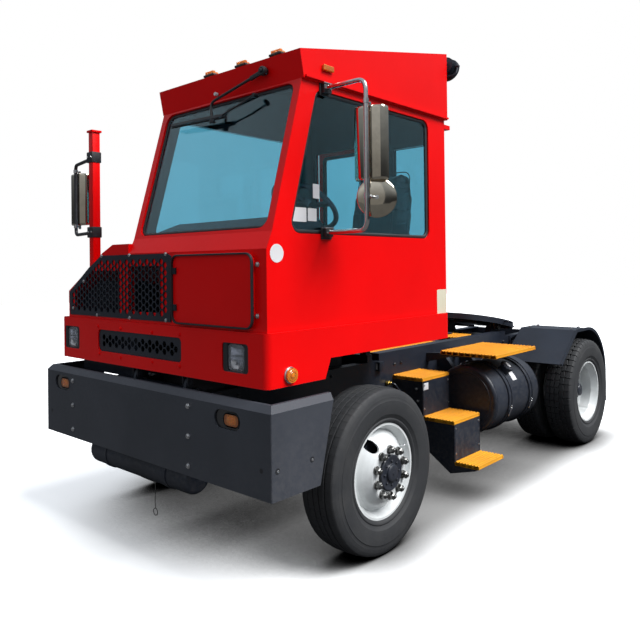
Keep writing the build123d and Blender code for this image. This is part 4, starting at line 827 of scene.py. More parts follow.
def makeHub(name, body, kind, x, side, y, values, nut, reach, bolts):
    places = []
    for n in range(values["nuts"]):
        angle = 2 * math.pi * (n + 0.5) / values["nuts"]
        outward = Vector((0, math.cos(angle), math.sin(angle)))
        places.append((Vector((x, y, axleZ)) + outward * values["circle"], Vector((side, 0, 0)), outward))
    nuts = copiesOf(name, nut, nutSteel, places, spin=6.28, seed=4)
    hub = Shape()
    out = Vector((side, 0, 0))
    foot = Vector((x, y, axleZ)) + out * reach
    hub.lathe(foot, out, hubProfiles[kind], 48)
    for n in range(8):
        angle = 2 * math.pi * n / 8
        spot = foot + Vector((0, math.cos(angle), math.sin(angle))) * bolts[0]
        hub.lathe(spot, out, [(bolts[1] - 0.008, 0.0085), (bolts[1], 0.0085), (bolts[1] + 0.002, 0.006)], 6)
    joined(name, body, "black_paint", nuts, (hub, hubPaint))


nut = nutModel(hubValues)
frontFace = axleHigh.x - 0.032
for sideName, side in (("Left", 1), ("Right", -1)):
    letter = sideName[0].lower()
    makeHub("hubFront" + sideName, "wheel_front_" + letter, "front", side * (frontFace + 0.001), side, axleY,
            hubValues, nut, 0.001, (0.073, 0.020))
    makeHub("hubRear" + sideName, "wheels_rear_" + letter, "rear", side * (twinMiddle + 0.012), side, rearAxleY,
            hubValues, nut, 0.139, (0.095, 0.010))
bpy.data.objects.remove(nut)


def makeValves(name, body, x, side, y):
    shape = Shape()
    foot = Vector((x, y, axleZ)) + Vector((0, 0.176, 0.118))
    tip = foot + Vector((side * 0.052, 0.012, 0.006))
    shape.tube([foot, foot + Vector((side * 0.02, 0.0, 0.0)), tip], 0.005, 0.02, 8)
    shape.rod(tip, tip + Vector((side * 0.014, 0.004, 0.002)), 0.0075, 10)
    shape.piece(name, body, brightSteel, "bright_steel")


makeValves("valveFrontLeft", "wheel_front_l", frontFace - 0.082, 1, axleY)
makeValves("valveFrontRight", "wheel_front_r", 0.082 - frontFace, -1, axleY)
print("hubs done")
# Window seals
sealValues = {
    "screen": {"wide": 0.013, "high": 0.007, "sunk": 0.001},
    "side": {"wide": 0.017, "high": 0.009, "sunk": 0.001},
    "door": {"wide": 0.007, "high": 0.005, "sunk": 0.001},
}


def sealSection(wide, high, sunk):
    return [(-wide, -sunk), (-wide, high * 0.45), (-wide * 0.7, high * 0.85), (-wide * 0.1, high),
            (wide * 0.15, high * 0.8), (wide * 0.3, high * 0.55), (wide * 0.45, high * 0.85),
            (wide * 0.8, high * 0.8), (wide, high * 0.4), (wide, -sunk)]


def makeSeal(name, facing, node, values, move):
    loop, normal = outlineOf(node, facing)
    shape = Shape()
    shape.sweep(inset(loop, normal, move), sealSection(**values), normal, closed=True)
    shape.piece(name, "cab", sealRubber, "black_paint", 50)


for args in (("screenSeal", (0, -0.963, 0.270), "windshield", sealValues["screen"], 0.008),
             ("leftWindowSeal", (1, 0, 0), "side_windows", sealValues["side"], 0.006),
             ("rightWindowSeal", (-1, 0, 0), "side_windows", sealValues["side"], 0.006),
             ("rearWindowSeal", (0, 1, 0), "side_windows", sealValues["door"], 0.004)):
    makeSeal(*args)
print("seals done")

# Wipers
wiperValues = {
    "pivot": (831, -690, 2951), "elbow": (350, -700, 2846), "knot": (402, -728, 2716),
    "bladeEnds": ((-47, -716, 2758), (492, -722, 2740)), "second": ((760, -700, 2822), (628, -712, 2779)),
}


def makeWipers(values):
    shape = Shape()
    pivot, elbow, knot = (at(*values[key]) for key in ("pivot", "elbow", "knot"))
    shape.rod(at(831, -664, 2951), pivot - Vector((0, 0.008, 0)), 0.021)
    shape.rod(pivot + Vector((0, 0.012, 0)), pivot - Vector((0, 0.02, 0)), 0.028)
    shape.rod(pivot - Vector((0, 0.018, 0)), pivot - Vector((0, 0.030, 0)), 0.012)
    across = (elbow - pivot).normalized()
    shape.tube([pivot, pivot + across * 0.09, elbow, knot], 0.0085, 0.05, 10)
    shape.block(pivot + across * 0.06, (0.11, 0.016, 0.026), 0.005,
                Matrix.Rotation(-math.atan2(across.z, across.x), 3, (0, 1, 0)))
    left, right = (at(*end) for end in values["bladeEnds"])
    run = (right - left).normalized()
    frame = rounded([left, left.lerp(right, 0.5) - Vector((0, 0.016, 0)), right], 0.2)
    shape.sweep(frame, [(-0.004, -0.009), (0.004, -0.009), (0.004, 0.009), (-0.004, 0.009)], (0, 0.27, 0.96))
    slope = Vector((0, 0.27, 0.96))
    back = Vector((0, 0.96, -0.27))
    for start, end in ((0.02, 0.30), (0.70, 0.98), (0.30, 0.70)):
        a, b = left.lerp(right, start) + back * 0.004, left.lerp(right, end) + back * 0.004
        shape.tube([a + back * 0.014, a, b, b + back * 0.014], 0.0045, 0.012, 8)
    edge = [left + back * 0.020 - run * 0.02, right + back * 0.020 + run * 0.02]
    shape.sweep(edge, [(-0.0035, -0.006), (0.0035, -0.006), (0.0012, 0.010), (-0.0012, 0.010)], -slope)
    shape.block(knot, (0.035, 0.022, 0.026), 0.004)
    start, end = (at(*point) for point in values["second"])
    shape.rod(start, end, 0.007, 10)
    shape.rod(start + Vector((0, 0.03, 0.0)), start - Vector((0, 0.010, 0)), 0.013)
    shape.rod(end, knot + Vector((0, 0.004, 0.006)), 0.006, 10)
    shape.piece("wipers", "cab", sealRubber, "black_paint")


makeWipers(wiperValues)
cap = Shape()
cap.rod(at(372, -660, 2903), at(372, -684, 2903), 0.012)
cap.piece("washerJet", "cab", whitePaint, "white_paint")
print("wipers done")

# Small fasteners
fastenerValues = {
    "grille": ((-207, 1894), (204, 1893), (202, 1485), (-808, 1719), (-965, 1522), (-625, 1484), (-207, 1483),
               (-560, 1894)),
    "hatch": ((1035, 1821), (1030, 1545)),
    "band": ((-602, 1406), (-310, 1406), (56, 1400), (349, 1405), (-586, 1218), (-313, 1212), (57, 1214),
             (346, 1213)),
    "bumper": ((-828, 1013), (-828, 841), (-828, 670), (524, 1013), (524, 841), (524, 670)),
}


def screwModel(radius, height, sides, material):
    shape = Shape()
    shape.lathe((0, 0, 0), (0, 0, 1), [(-0.002, radius * 1.35), (height * 0.25, radius * 1.35),
                                       (height * 0.3, radius), (height * 0.8, radius), (height, radius * 0.7),
                                       (height, radius * 0.35), (height * 0.6, radius * 0.3), (height * 0.6, 0)],
                sides)
    return model(shape, "head", material)


def screwsOn(name, body, points, facing, material, slot, radius=0.008, height=0.007, sides=12):
    head = screwModel(radius, height, sides, material)
    along = Vector(facing).orthogonal()
    places = [(point, Vector(facing), along) for point in points]
    placed(copiesOf(name, head, material, places, spin=6.28, seed=len(points)), name, body)
    bpy.data.objects.remove(head)


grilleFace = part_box("upper_grille")[0].y
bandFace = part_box("lower_band")[0].y
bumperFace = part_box("front_bumper")[0].y
for name, body, key, face, material, slot, *size in (
        ("grilleScrews", "cab", "grille", grilleFace, brightSteel, "bright_steel", 0.009, 0.007),
        ("hatchScrews", "cab", "hatch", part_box("cab_shell")[0].y + 0.032, brightSteel, "bright_steel", 0.011, 0.012),
        ("bandRivets", "cab", "band", bandFace, redPaint, "red_paint", 0.010, 0.006),
        ("bumperBolts", "chassis", "bumper", bumperFace, brightSteel, "bright_steel", 0.013, 0.011, 6)):
    points = [Vector((x / 1000, face, z / 1000)) for x, z in fastenerValues[key]]
    screwsOn(name, body, points, (0, -1, 0), material, slot, *size)
print("fasteners done")

# Lamps
def extents(node, test):
    spots = [vert.co for vert in nodeObjects[node].data.vertices if test(vert.co)]
    return [Vector([pick(spot[i] for spot in spots) for i in range(3)]) for pick in (min, max)]


def flutedLens(shape, centre, width, height, corner, bulge, ripple, flutes, columns=60, rows=16):
    rings = []
    for i in range(rows + 1):
        z = -height / 2 + height * i / rows
        over = max(0.0, abs(z) - (height / 2 - corner))
        half = width / 2 - corner + math.sqrt(max(0.0, corner ** 2 - over ** 2))
        row = []
        for j in range(columns + 1):
            t = j / columns * 2 - 1
            edge = 1 - max(abs(t), abs(z) * 2 / height) ** 4
            wave = math.cos(math.pi * flutes * t) * ripple * min(1.0, edge * 3)
            depth = bulge * (1 - t * t) * (1 - (2 * z / height) ** 2) ** 0.5 + wave
            row.append(shape.mesh.verts.new(centre + Vector((half * t, -depth, z))))
        rings.append(row)
    for low, high in zip(rings, rings[1:]):
        for j in range(columns):
            shape.mesh.faces.new((low[j], low[j + 1], high[j + 1], high[j]))


def frameLoop(centre, width, height, corner):
    corners = [(-width / 2, -height / 2), (width / 2, -height / 2), (width / 2, height / 2), (-width / 2, height / 2)]
    return rounded([centre + Vector((x, 0, z)) for x, z in corners], corner, closed=True)


headlampValues = {"lens": (0.136, 0.150), "corner": 0.024, "rim": 0.016, "flutes": 9, "ripple": 0.0011}


def makeHeadlamp(name, side, values):
    low, high = extents("headlamps", lambda spot: spot.x * side > 0)
    centre = Vector(((low.x + high.x) / 2, bandFace + 0.010, (low.z + high.z) / 2))
    width, height = values["lens"]
    housing = Shape()
    section = [(-0.012, 0.028), (-0.012, -0.004), (-0.006, -0.008), (0.016, -0.009), (0.026, -0.006), (0.026, 0.028)]
    housing.sweep(frameLoop(centre + Vector((0, 0.002, 0)), width + 0.030, height + 0.026, values["corner"] + 0.01),
                  [(u, -v) for u, v in section], (0, -1, 0), closed=True)
    housing.block(centre + Vector((0, 0.036, 0)), (width + 0.05, 0.010, height + 0.034), 0.003)
    bowl, paintedGlint = Shape(), Shape()
    rings = []
    for back, scale in ((0.006, 0.97), (0.014, 0.93), (0.022, 0.84), (0.028, 0.66), (0.030, 0.40)):
        loop = frameLoop(centre + Vector((0, back, 0)), width * scale, height * scale, values["corner"] * scale)
        rings.append([bowl.mesh.verts.new(point) for point in loop])
    bowl.skin(rings, caps=False)
    bowl.mesh.faces.new(rings[-1])
    bowl.block(centre + Vector((0, 0.016, 0.006)), (width * 0.86, 0.012, 0.006), 0.002)
    # Painted highlight: a pale disc and bar behind the lens at lower left stand in for the lamp's bright spot.
    paintedGlint.lathe(centre + Vector((-0.034, 0.026, -0.038)), (0, -1, 0), [(0.0, 0.024), (0.006, 0.023), (0.012, 0.018),
                                                                      (0.016, 0.010), (0.017, 0.0)], 28)
    paintedGlint.block(centre + Vector((-0.012, 0.020, -0.050)), (0.052, 0.008, 0.020), 0.003)
    lens = Shape()
    flutedLens(lens, centre, width, height, values["corner"], 0.009, values["ripple"], values["flutes"])
    return joined(name, "cab", "clear_lens", (housing, sealRubber), (bowl, smokedChrome),
                  (paintedGlint, labelPaint), (lens, lampGlass))


for name, side in (("headlampLeft", 1), ("headlampRight", -1)):
    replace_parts(makeHeadlamp(name, side, headlampValues), "headlamps")


def makeSlotLamp(name, side):
    low, high = extents("bumper_lamps", lambda spot: spot.x * side > 0)
    middle = Vector(((low.x + high.x) / 2, bumperFace, (low.z + high.z) / 2))
    lens = Shape()
    centre = middle + Vector((0.030, 0.008, 0))
    flutedLens(lens, centre, 0.118, 0.062, 0.030, 0.006, 0.0008, 7, 48, 14)
    base = Shape()
    loop = frameLoop(centre + Vector((0, 0.001, 0)), 0.128, 0.074, 0.036)
    base.sweep(loop, [(-0.006, 0.004), (0.004, 0.004), (0.004, -0.006), (-0.006, -0.006)], (0, -1, 0), closed=True)
    joined(name, "chassis", "amber_lens", (lens, amberLens), (base, sealRubber))


makeSlotLamp("slotLampLeft", 1)
makeSlotLamp("slotLampRight", -1)


def makeSideLamp():
    low, high = extents("marker_lamps", lambda spot: spot.z < 1.6)
    centre = Vector((low.x, (low.y + high.y) / 2, (low.z + high.z) / 2))
    lens, ringShape = Shape(), Shape()
    lens.lathe(centre, (1, 0, 0), [(0.0, 0.036), (0.018, 0.036), (0.022, 0.033), (0.0245, 0.028), (0.0235, 0.024),
                                   (0.0265, 0.020), (0.0255, 0.016), (0.028, 0.010), (0.028, 0.0)], 40)
    ringShape.lathe(centre, (1, 0, 0), [(-0.001, 0.046), (0.006, 0.046), (0.010, 0.043), (0.011, 0.0365),
                                        (-0.001, 0.0365)], 40, closed=True)
    joined("sideLamp", "cab", "amber_lens", (lens, amberLens), (ringShape, brightSteel))


makeSideLamp()


def makeRoofLamps():
    shape, lens = Shape(), Shape()
    for i in range(3):
        spread = sorted({round(vert.co.x, 2) for vert in nodeObjects["marker_lamps"].data.vertices
                         if vert.co.z > 3.0})
        third = (spread[-1] - spread[0] - 0.086) / 2
        middle = spread[0] + 0.043 + third * i
        low, high = extents("marker_lamps", lambda spot: spot.z > 3.0 and abs(spot.x - middle) < 0.08)
        centre = (low + high) / 2
        shape.block((middle, centre.y, low.z + 0.012), (0.104, 0.066, 0.014), 0.004)
        for j in range(7):
            lens.block((middle - 0.036 + 0.012 * j, low.y + 0.012, centre.z + 0.008), (0.004, 0.022, 0.026),
                       0.0016)
    joined("roofLamps", "cab", "amber_lens", (shape, sealRubber), (lens, amberLens))


makeRoofLamps()


def makeWorkLight():
    low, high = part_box("work_light")
    out = Vector((0, 0.953, -0.301))
    centre = Vector(((low.x + high.x) / 2 + 0.010, low.y + 0.030, (low.z + high.z) / 2 + 0.072))
    body, glass, frame = Shape(), Shape(), Shape()
    profile = [(0.0, 0.030)]
    for fin in range(6):
        along = 0.006 + fin * 0.009
        profile += [(along, 0.056 + fin * 0.003), (along + 0.001, 0.072 + fin * 0.0015),
                    (along + 0.004, 0.072 + fin * 0.0015), (along + 0.005, 0.056 + fin * 0.003)]
    profile += [(0.062, 0.080), (0.066, 0.086), (0.086, 0.086), (0.090, 0.083), (0.090, 0.077), (0.084, 0.075),
                (0.080, 0.0)]
    body.lathe(centre, out, profile, 40)
    glass.lathe(centre, out, [(0.083, 0.0755), (0.087, 0.060), (0.089, 0.030), (0.0895, 0.0)], 40)
    frame.block((centre.x - 0.040, low.y + 0.008, centre.z - 0.06), (0.090, 0.016, 0.110), 0.005)
    for side in (-1, 1):
        frame.tube([(centre.x + side * 0.02 - 0.04, low.y + 0.012, centre.z - 0.09),
                    (centre.x + side * 0.095, low.y + 0.045, centre.z - 0.085),
                    centre + out * 0.05 + Vector((side * 0.092, 0, 0))], 0.008, 0.03, 10)
        frame.rod(centre + out * 0.05 + Vector((side * 0.078, 0, 0)), centre + out * 0.05 + Vector((side * 0.104, 0, 0)),
                  0.013, 12)
    light = joined("workLight", "cab", "black_paint", (body, blackPaint),
                   (glass, lampGlass), (frame, blackPaint))
    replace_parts(light, "work_light")


makeWorkLight()
print("lamps done")

# Mirrors
mirrorValues = {
    "pipe": 0.013, "head": (0.196, 0.080, 0.415),
    "left": {"pipe": (1.420, -0.475), "levels": (2.003, 2.838), "centre": (1.394, -0.408, 2.492), "turn": 14.0,
             "round": (1.428, -0.396, 2.186), "roundTurn": 38.0, "radius": 0.112},
    "right": {"post": (-0.925, -0.790), "pipe": (-1.385, -0.700), "levels": (2.080, 2.640),
              "centre": (-1.410, -0.655, 2.370), "turn": 10.0},
}


def mirrorHead(shell, glass, rim, centre, turn, size):
    width, depth, height = size
    spin = Matrix.Rotation(math.radians(turn), 3, "Z")
    outline = [(-0.50, 0.46), (-0.50, 0.10), (-0.47, -0.10), (-0.40, -0.26), (-0.28, -0.38), (-0.12, -0.45),
               (0.12, -0.45), (0.28, -0.38), (0.40, -0.26), (0.47, -0.10), (0.50, 0.10), (0.50, 0.46)]
    rings = []
    for level, share in ((-0.500, 0.80), (-0.497, 0.90), (-0.485, 0.97), (-0.460, 1.0), (0.460, 1.0), (0.485, 0.97),
                         (0.497, 0.90), (0.500, 0.80)):
        rings.append([shell.mesh.verts.new(centre + spin @ Vector((u * width * (0.5 + share / 2), v * depth * share,
                                                                   level * height))) for u, v in outline])
    shell.skin(rings)
    back = spin @ Vector((0, 1, 0))
    right = spin @ Vector((1, 0, 0))
    middle = centre + back * depth * 0.46
    corners = [middle + right * x * (width / 2 - 0.008) + Vector((0, 0, z * (height / 2 - 0.010)))
               for x, z in ((-1, -1), (1, -1), (1, 1), (-1, 1))]
    loop = rounded(corners, 0.022, closed=True)
    rim.sweep(loop, [(-0.004, -0.003), (-0.004, 0.004), (0.003, 0.005), (0.007, 0.002), (0.007, -0.003)], back,
              closed=True)
    glass.plate([point + back * 0.0005 for point in loop][::-1], -0.002)


def clampBand(shape, centre, axis, radius, width=0.018):
    axis = Vector(axis).normalized()
    shape.lathe(Vector(centre) - axis * width / 2, axis, [(0, radius), (0, radius + 0.004), (width, radius + 0.004),
                                                          (width, radius)], 20)


def mirrorStays(steel, head, pipe, height, radius):
    for z in (head.z + height / 2 + 0.014, head.z - height / 2 - 0.012):
        spot = Vector((pipe.x, pipe.y, z))
        clampBand(steel, spot, (0, 0, 1), radius, 0.026)
        steel.rod((head.x, head.y, z - 0.020), (head.x, head.y, z + 0.010), 0.010, 14)
        steel.block((Vector((head.x, head.y, z)) + spot) / 2, (0.016, (head - pipe).xy.length + 0.012, 0.008), 0.002,
                    Matrix.Rotation(math.atan2(pipe.x - head.x, head.y - pipe.y), 3, "Z"))


def makeMirrors(values):
    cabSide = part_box("cab_shell")[1].x
    radius, size = values["pipe"], values["head"]
    shell, glass, trim, steel = Shape(), Shape(), Shape(), Shape()
    some = values["left"]
    pipeX, pipeY = some["pipe"][0], axleY + some["pipe"][1]
    low, high = some["levels"]
    steel.tube([(cabSide + 0.004, pipeY, high), (pipeX, pipeY, high), (pipeX, pipeY, low),
                (cabSide + 0.004, pipeY, low)], radius, 0.062, 20)
    head = Vector(some["centre"]) + Vector((0, axleY, 0))
    mirrorHead(shell, glass, trim, head, some["turn"], size)
    mirrorStays(steel, head, Vector((pipeX, pipeY, 0)), size[2], radius)
    disc = Vector(some["round"]) + Vector((0, axleY, 0))
    out = Matrix.Rotation(math.radians(some["roundTurn"]), 3, "Z") @ Vector((0, -1, 0))
    wide = some["radius"]
    shell.lathe(disc, out, [(-0.020, wide - 0.006), (-0.010, wide), (0.004, wide), (0.009, wide * 0.95),
                            (0.016, wide * 0.72), (0.020, wide * 0.40), (0.0215, 0.016), (0.0215, 0.0)], 56)
    glass.lathe(disc, -out, [(0.020, wide - 0.008), (0.026, wide * 0.7), (0.030, wide * 0.3), (0.031, 0)], 48)
    steel.lathe(disc + out * 0.020, out, [(0, 0.013), (0.008, 0.013), (0.009, 0.0)], 6)
    spot = Vector((pipeX, pipeY, disc.z + 0.006))
    clampBand(steel, spot, (0, 0, 1), radius, 0.030)
    steel.rod(spot, disc + out * 0.016, 0.007, 10)
    for z, tall in ((high, 0.052), (low, 0.046)):
        foot = Vector((cabSide, pipeY + 0.010, z - 0.004))
        trim.block(foot + Vector((0.016, 0, 0)), (0.034, 0.066, tall), 0.006)
        trim.block(foot + Vector((0.004, 0, 0)), (0.008, 0.090, tall + 0.026), 0.003)
        steel.block(foot + Vector((0.016, 0.0, tall / 2 + 0.005)), (0.038, 0.070, 0.010), 0.003)
        for side in (-1, 1):
            steel.rod(foot + Vector((0.030, side * 0.02, 0)), foot + Vector((0.040, side * 0.02, 0)), 0.008, 6)
    left = joined("mirrorLeft", "cab", "chrome", (shell, warmReflectionChrome),
                  (glass, chrome), (trim, sealRubber),
                  (steel, tubeChrome))
    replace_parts(left, "mirror_left")
    shell, glass, trim, steel, post = Shape(), Shape(), Shape(), Shape(), Shape()
    some = values["right"]
    cadLow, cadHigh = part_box("mirror_right")
    postX, postY = some["post"][0], axleY + some["post"][1]
    pipeX, pipeY = some["pipe"][0], axleY + some["pipe"][1]
    low, high = some["levels"]
    post.span((postX - 0.030, postY - 0.030, cadLow.z), (postX + 0.030, postY + 0.030, cadHigh.z - 0.016), 0.005)
    post.span((postX - 0.040, postY - 0.040, cadHigh.z - 0.017), (postX + 0.040, postY + 0.040, cadHigh.z), 0.004)
    trim.tube([(postX, postY, high), (pipeX, pipeY, high), (pipeX, pipeY, low),
               (postX, postY, low)], radius, 0.045, 20)
    head = Vector(some["centre"]) + Vector((0, axleY, 0))
    mirrorHead(shell, glass, trim, head, some["turn"], size)
    mirrorStays(steel, head, Vector((pipeX, pipeY, 0)), size[2], radius)
    for z in (high, low):
        trim.block((postX - 0.006, postY, z), (0.082, 0.076, 0.080), 0.006)
        for side in (-1, 1):
            steel.rod((postX + side * 0.022, postY - 0.034, z), (postX + side * 0.022, postY - 0.046, z),
                      0.008, 6)
    right = joined("mirrorRight", "cab", "red_paint", (post, redPaint),
                   (shell, warmReflectionChrome), (glass, chrome),
                   (trim, sealRubber), (steel, tubeChrome))
    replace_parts(right, "mirror_right")


makeMirrors(mirrorValues)
print("mirrors done")

# Sliding rear door
doorValues = {"x": (-0.170, 0.580), "z": (1.316, 2.786), "face": 0.875, "thick": 0.030,
              "pane": ((-0.115, 0.525), (1.950, 2.728)), "hangers": (-0.090, 0.500)}


def makeRearDoor(values):
    (x0, x1), (z0, z1) = values["x"], values["z"]
    (p0, p1), (q0, q1) = values["pane"]
    y0 = axleY + values["face"]
    y1 = y0 + values["thick"]
    leaf, rubber, steel, pane = Shape(), Shape(), Shape(), Shape()

    def loop(a0, a1, b0, b1, y, corner):
        return rounded([Vector((x, y, z)) for x, z in ((a0, b0), (a1, b0), (a1, b1), (a0, b1))], corner, closed=True)

    rings = []
    for a, y in ((0.0, y0 + 0.002), (0.0, y1 - 0.002), (0.002, y1)):
        rings.append(loop(x0 + a, x1 - a, z0 + a, z1 - a, y, 0.012))
    for a, y in ((-0.002, y1), (0.0, y1 - 0.002), (0.0, y0 + 0.002), (-0.002, y0)):
        rings.append(loop(p0 + a, p1 - a, q0 + a, q1 - a, y, 0.040))
    rings.append(loop(x0 + 0.002, x1 - 0.002, z0 + 0.002, z1 - 0.002, y0, 0.012))
    leaf.skin([[leaf.mesh.verts.new(point) for point in line] for line in rings], closed=True)
    for z in (1.42, 1.60, 1.78):
        leaf.span((p0 + 0.01, y1 - 0.003, z), (p1 - 0.01, y1 + 0.006, z + 0.045), 0.005)
    for y in (y1 - 0.001, y0 + 0.001):
        facing = 1 if y > y0 + 0.01 else -1
        rubber.sweep(loop(p0, p1, q0, q1, y, 0.040)[::facing], [(-0.010, -0.002), (-0.010, 0.004), (0.012, 0.005),
                                                               (0.016, -0.002)], (0, facing, 0), closed=True)
    pane.span((p0 - 0.006, y0 + 0.012, q0 - 0.006), (p1 + 0.006, y0 + 0.018, q1 + 0.006), 0.001)
    for x in values["hangers"]:
        for a, b in ((z1 - 0.004, z1 + 0.0195), (z0 - 0.0095, z0 + 0.004)):
            steel.span((x - 0.030, y0 + 0.006, a), (x + 0.030, y0 + 0.024, b), 0.002)
    steel.span((x0 + 0.050, y1 - 0.002, 1.735), (x0 + 0.074, y1 + 0.004, 1.915), 0.002)
    rubber.tube([(x0 + 0.062, y1, 1.760), (x0 + 0.062, y1 + 0.034, 1.766),
                 (x0 + 0.062, y1 + 0.034, 1.884), (x0 + 0.062, y1, 1.890)], 0.009, 0.016, 12)
    door = joined("rearDoor", "sliding_door", "red_paint", (leaf, redPaint),
                  (rubber, sealRubber), (steel, brightSteel),
                  (pane, windowGlass))
    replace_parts(door, "rear_door")


makeRearDoor(doorValues)
print("rear door done")

# Blank labels
def label(shape, corner, right, up, width, height, thick=0.0006, bend=0.004):
    right, up = Vector(right).normalized(), Vector(up).normalized()
    corner = Vector(corner)
    corners = [corner, corner + right * width, corner + right * width + up * height, corner + up * height]
    shape.plate(rounded(corners, bend, closed=True, steps=3), thick)


labels = Shape()
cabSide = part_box("cab_shell")[1].x
labels.lathe((cabSide, axleY - 0.860, 1.880), (1, 0, 0), [(0, 0.050), (0.0012, 0.050), (0.0014, 0.046),
                                                                  (0.0012, 0.042), (0.0012, 0.0)], 48)
for y, z, width, height in ((-0.721, 2.059, 0.112, 0.080), (-0.598, 2.066, 0.074, 0.073), (-0.553, 2.198, 0.055, 0.083)):
    label(labels, (cabSide - 0.0165, axleY + y, z), (0, 1, 0), (0, 0, 1), width, height)
labels.piece("windowLabels", "cab", labelPaint, "white_paint")
strip = Shape()
label(strip, (cabSide, axleY + 0.723, 1.451 + 0.006), (0, 1, 0), (0, 0, 1), 0.122, 0.172)
strip.piece("doorLabel", "cab", creamPaint, "white_paint")
print("labels done")

# Grip treads
treadRib = {"pitch": 0.057, "share": 0.80, "deep": 0.035, "tooth": 0.0035, "every": 0.013}
treadPieces = {
    "steps": [((1.013, 1.219), (1.091, 1.485), 0.302), ((0.729, 1.013), (1.091, 1.485), 0.608),
              ((0.432, 0.729), (1.091, 1.485), 0.909), ((0.640, 1.160), (1.500, 2.240), 1.080),
              ((-0.342, 0.342), (0.909, 1.405), 1.098), ((-0.342, 0.342), (1.415, 1.905), 1.098)],
    "boom": [((-0.300, 0.300), (2.330, 2.640), 1.098)],
}


def makeTreads(name, body, node, areas, values):
    peg = model(Shape().block((0, 0, 0), (0.004, 0.007, 0.008), 0.0012, segments=1), "tooth", yellowPaint)
    ribs, places = Shape(), []
    for (x0, x1), (y0, y1), top in areas:
        y0, y1 = axleY + y0, axleY + y1
        count = max(2, round((x1 - x0) / values["pitch"]))
        step = (x1 - x0) / count
        half = step * values["share"] / 2
        crown = top - values["tooth"]
        for n in range(count):
            middle = x0 + (n + 0.5) * step
            outline = [(-half, -values["deep"] + 0.0035), (-half, -0.004), (-half + 0.003, 0), (-half * 0.45, 0),
                       (-half * 0.35, -0.005), (half * 0.35, -0.005), (half * 0.45, 0), (half - 0.003, 0),
                       (half, -0.004), (half, -values["deep"] + 0.0035)]
            rings = [[ribs.mesh.verts.new((middle + u, y, crown + v)) for u, v in outline] for y in (y0, y1)]
            ribs.skin(rings)
            for side in (-1, 1):
                y = y0 + values["every"] / 2
                while y < y1:
                    places.append((Vector((middle + side * half * 0.72, y, crown)), Vector((0, 0, 1)),
                                   Vector((1, 0, 0))))
                    y += values["every"]
        ribs.span((x0 + 0.003, y0 + 0.003, crown - values["deep"] + 0.006), (x1 - 0.003, y1 - 0.003, crown - 0.024),
                  0.001)
        for y in (y0, y1 - 0.006):
            ribs.span((x0, y, crown - values["deep"] + 0.0035), (x1, y + 0.006, crown - 0.006), 0.0015)
    teeth = copiesOf(name, peg, yellowPaint, places)
    bpy.data.objects.remove(peg)
    whole = joined(name, body, "yellow_paint", (ribs, treadPaint), teeth)
    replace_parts(whole, node)


makeTreads("stepTreads", "chassis", "step_treads", treadPieces["steps"], treadRib)
makeTreads("boomTread", "lift_boom", "boom_plate", treadPieces["boom"], treadRib)
print("treads done")

# Steps, tank and side fittings
sideValues = {
    "riserBolts": ((668, 813), (678, 716), (700, 470), (706, 400), (560, 690), (560, 520)),
    "tank": {"x": 0.839, "z": 0.675, "radius": 0.286, "front": 1.562, "rear": 2.383, "straps": (1.802, 2.193)},
    "tankLabels": ((1.880, 48, 0.050, 0.040), (1.965, 38, 0.075, 0.100), (2.010, 62, 0.030, 0.024)),
}


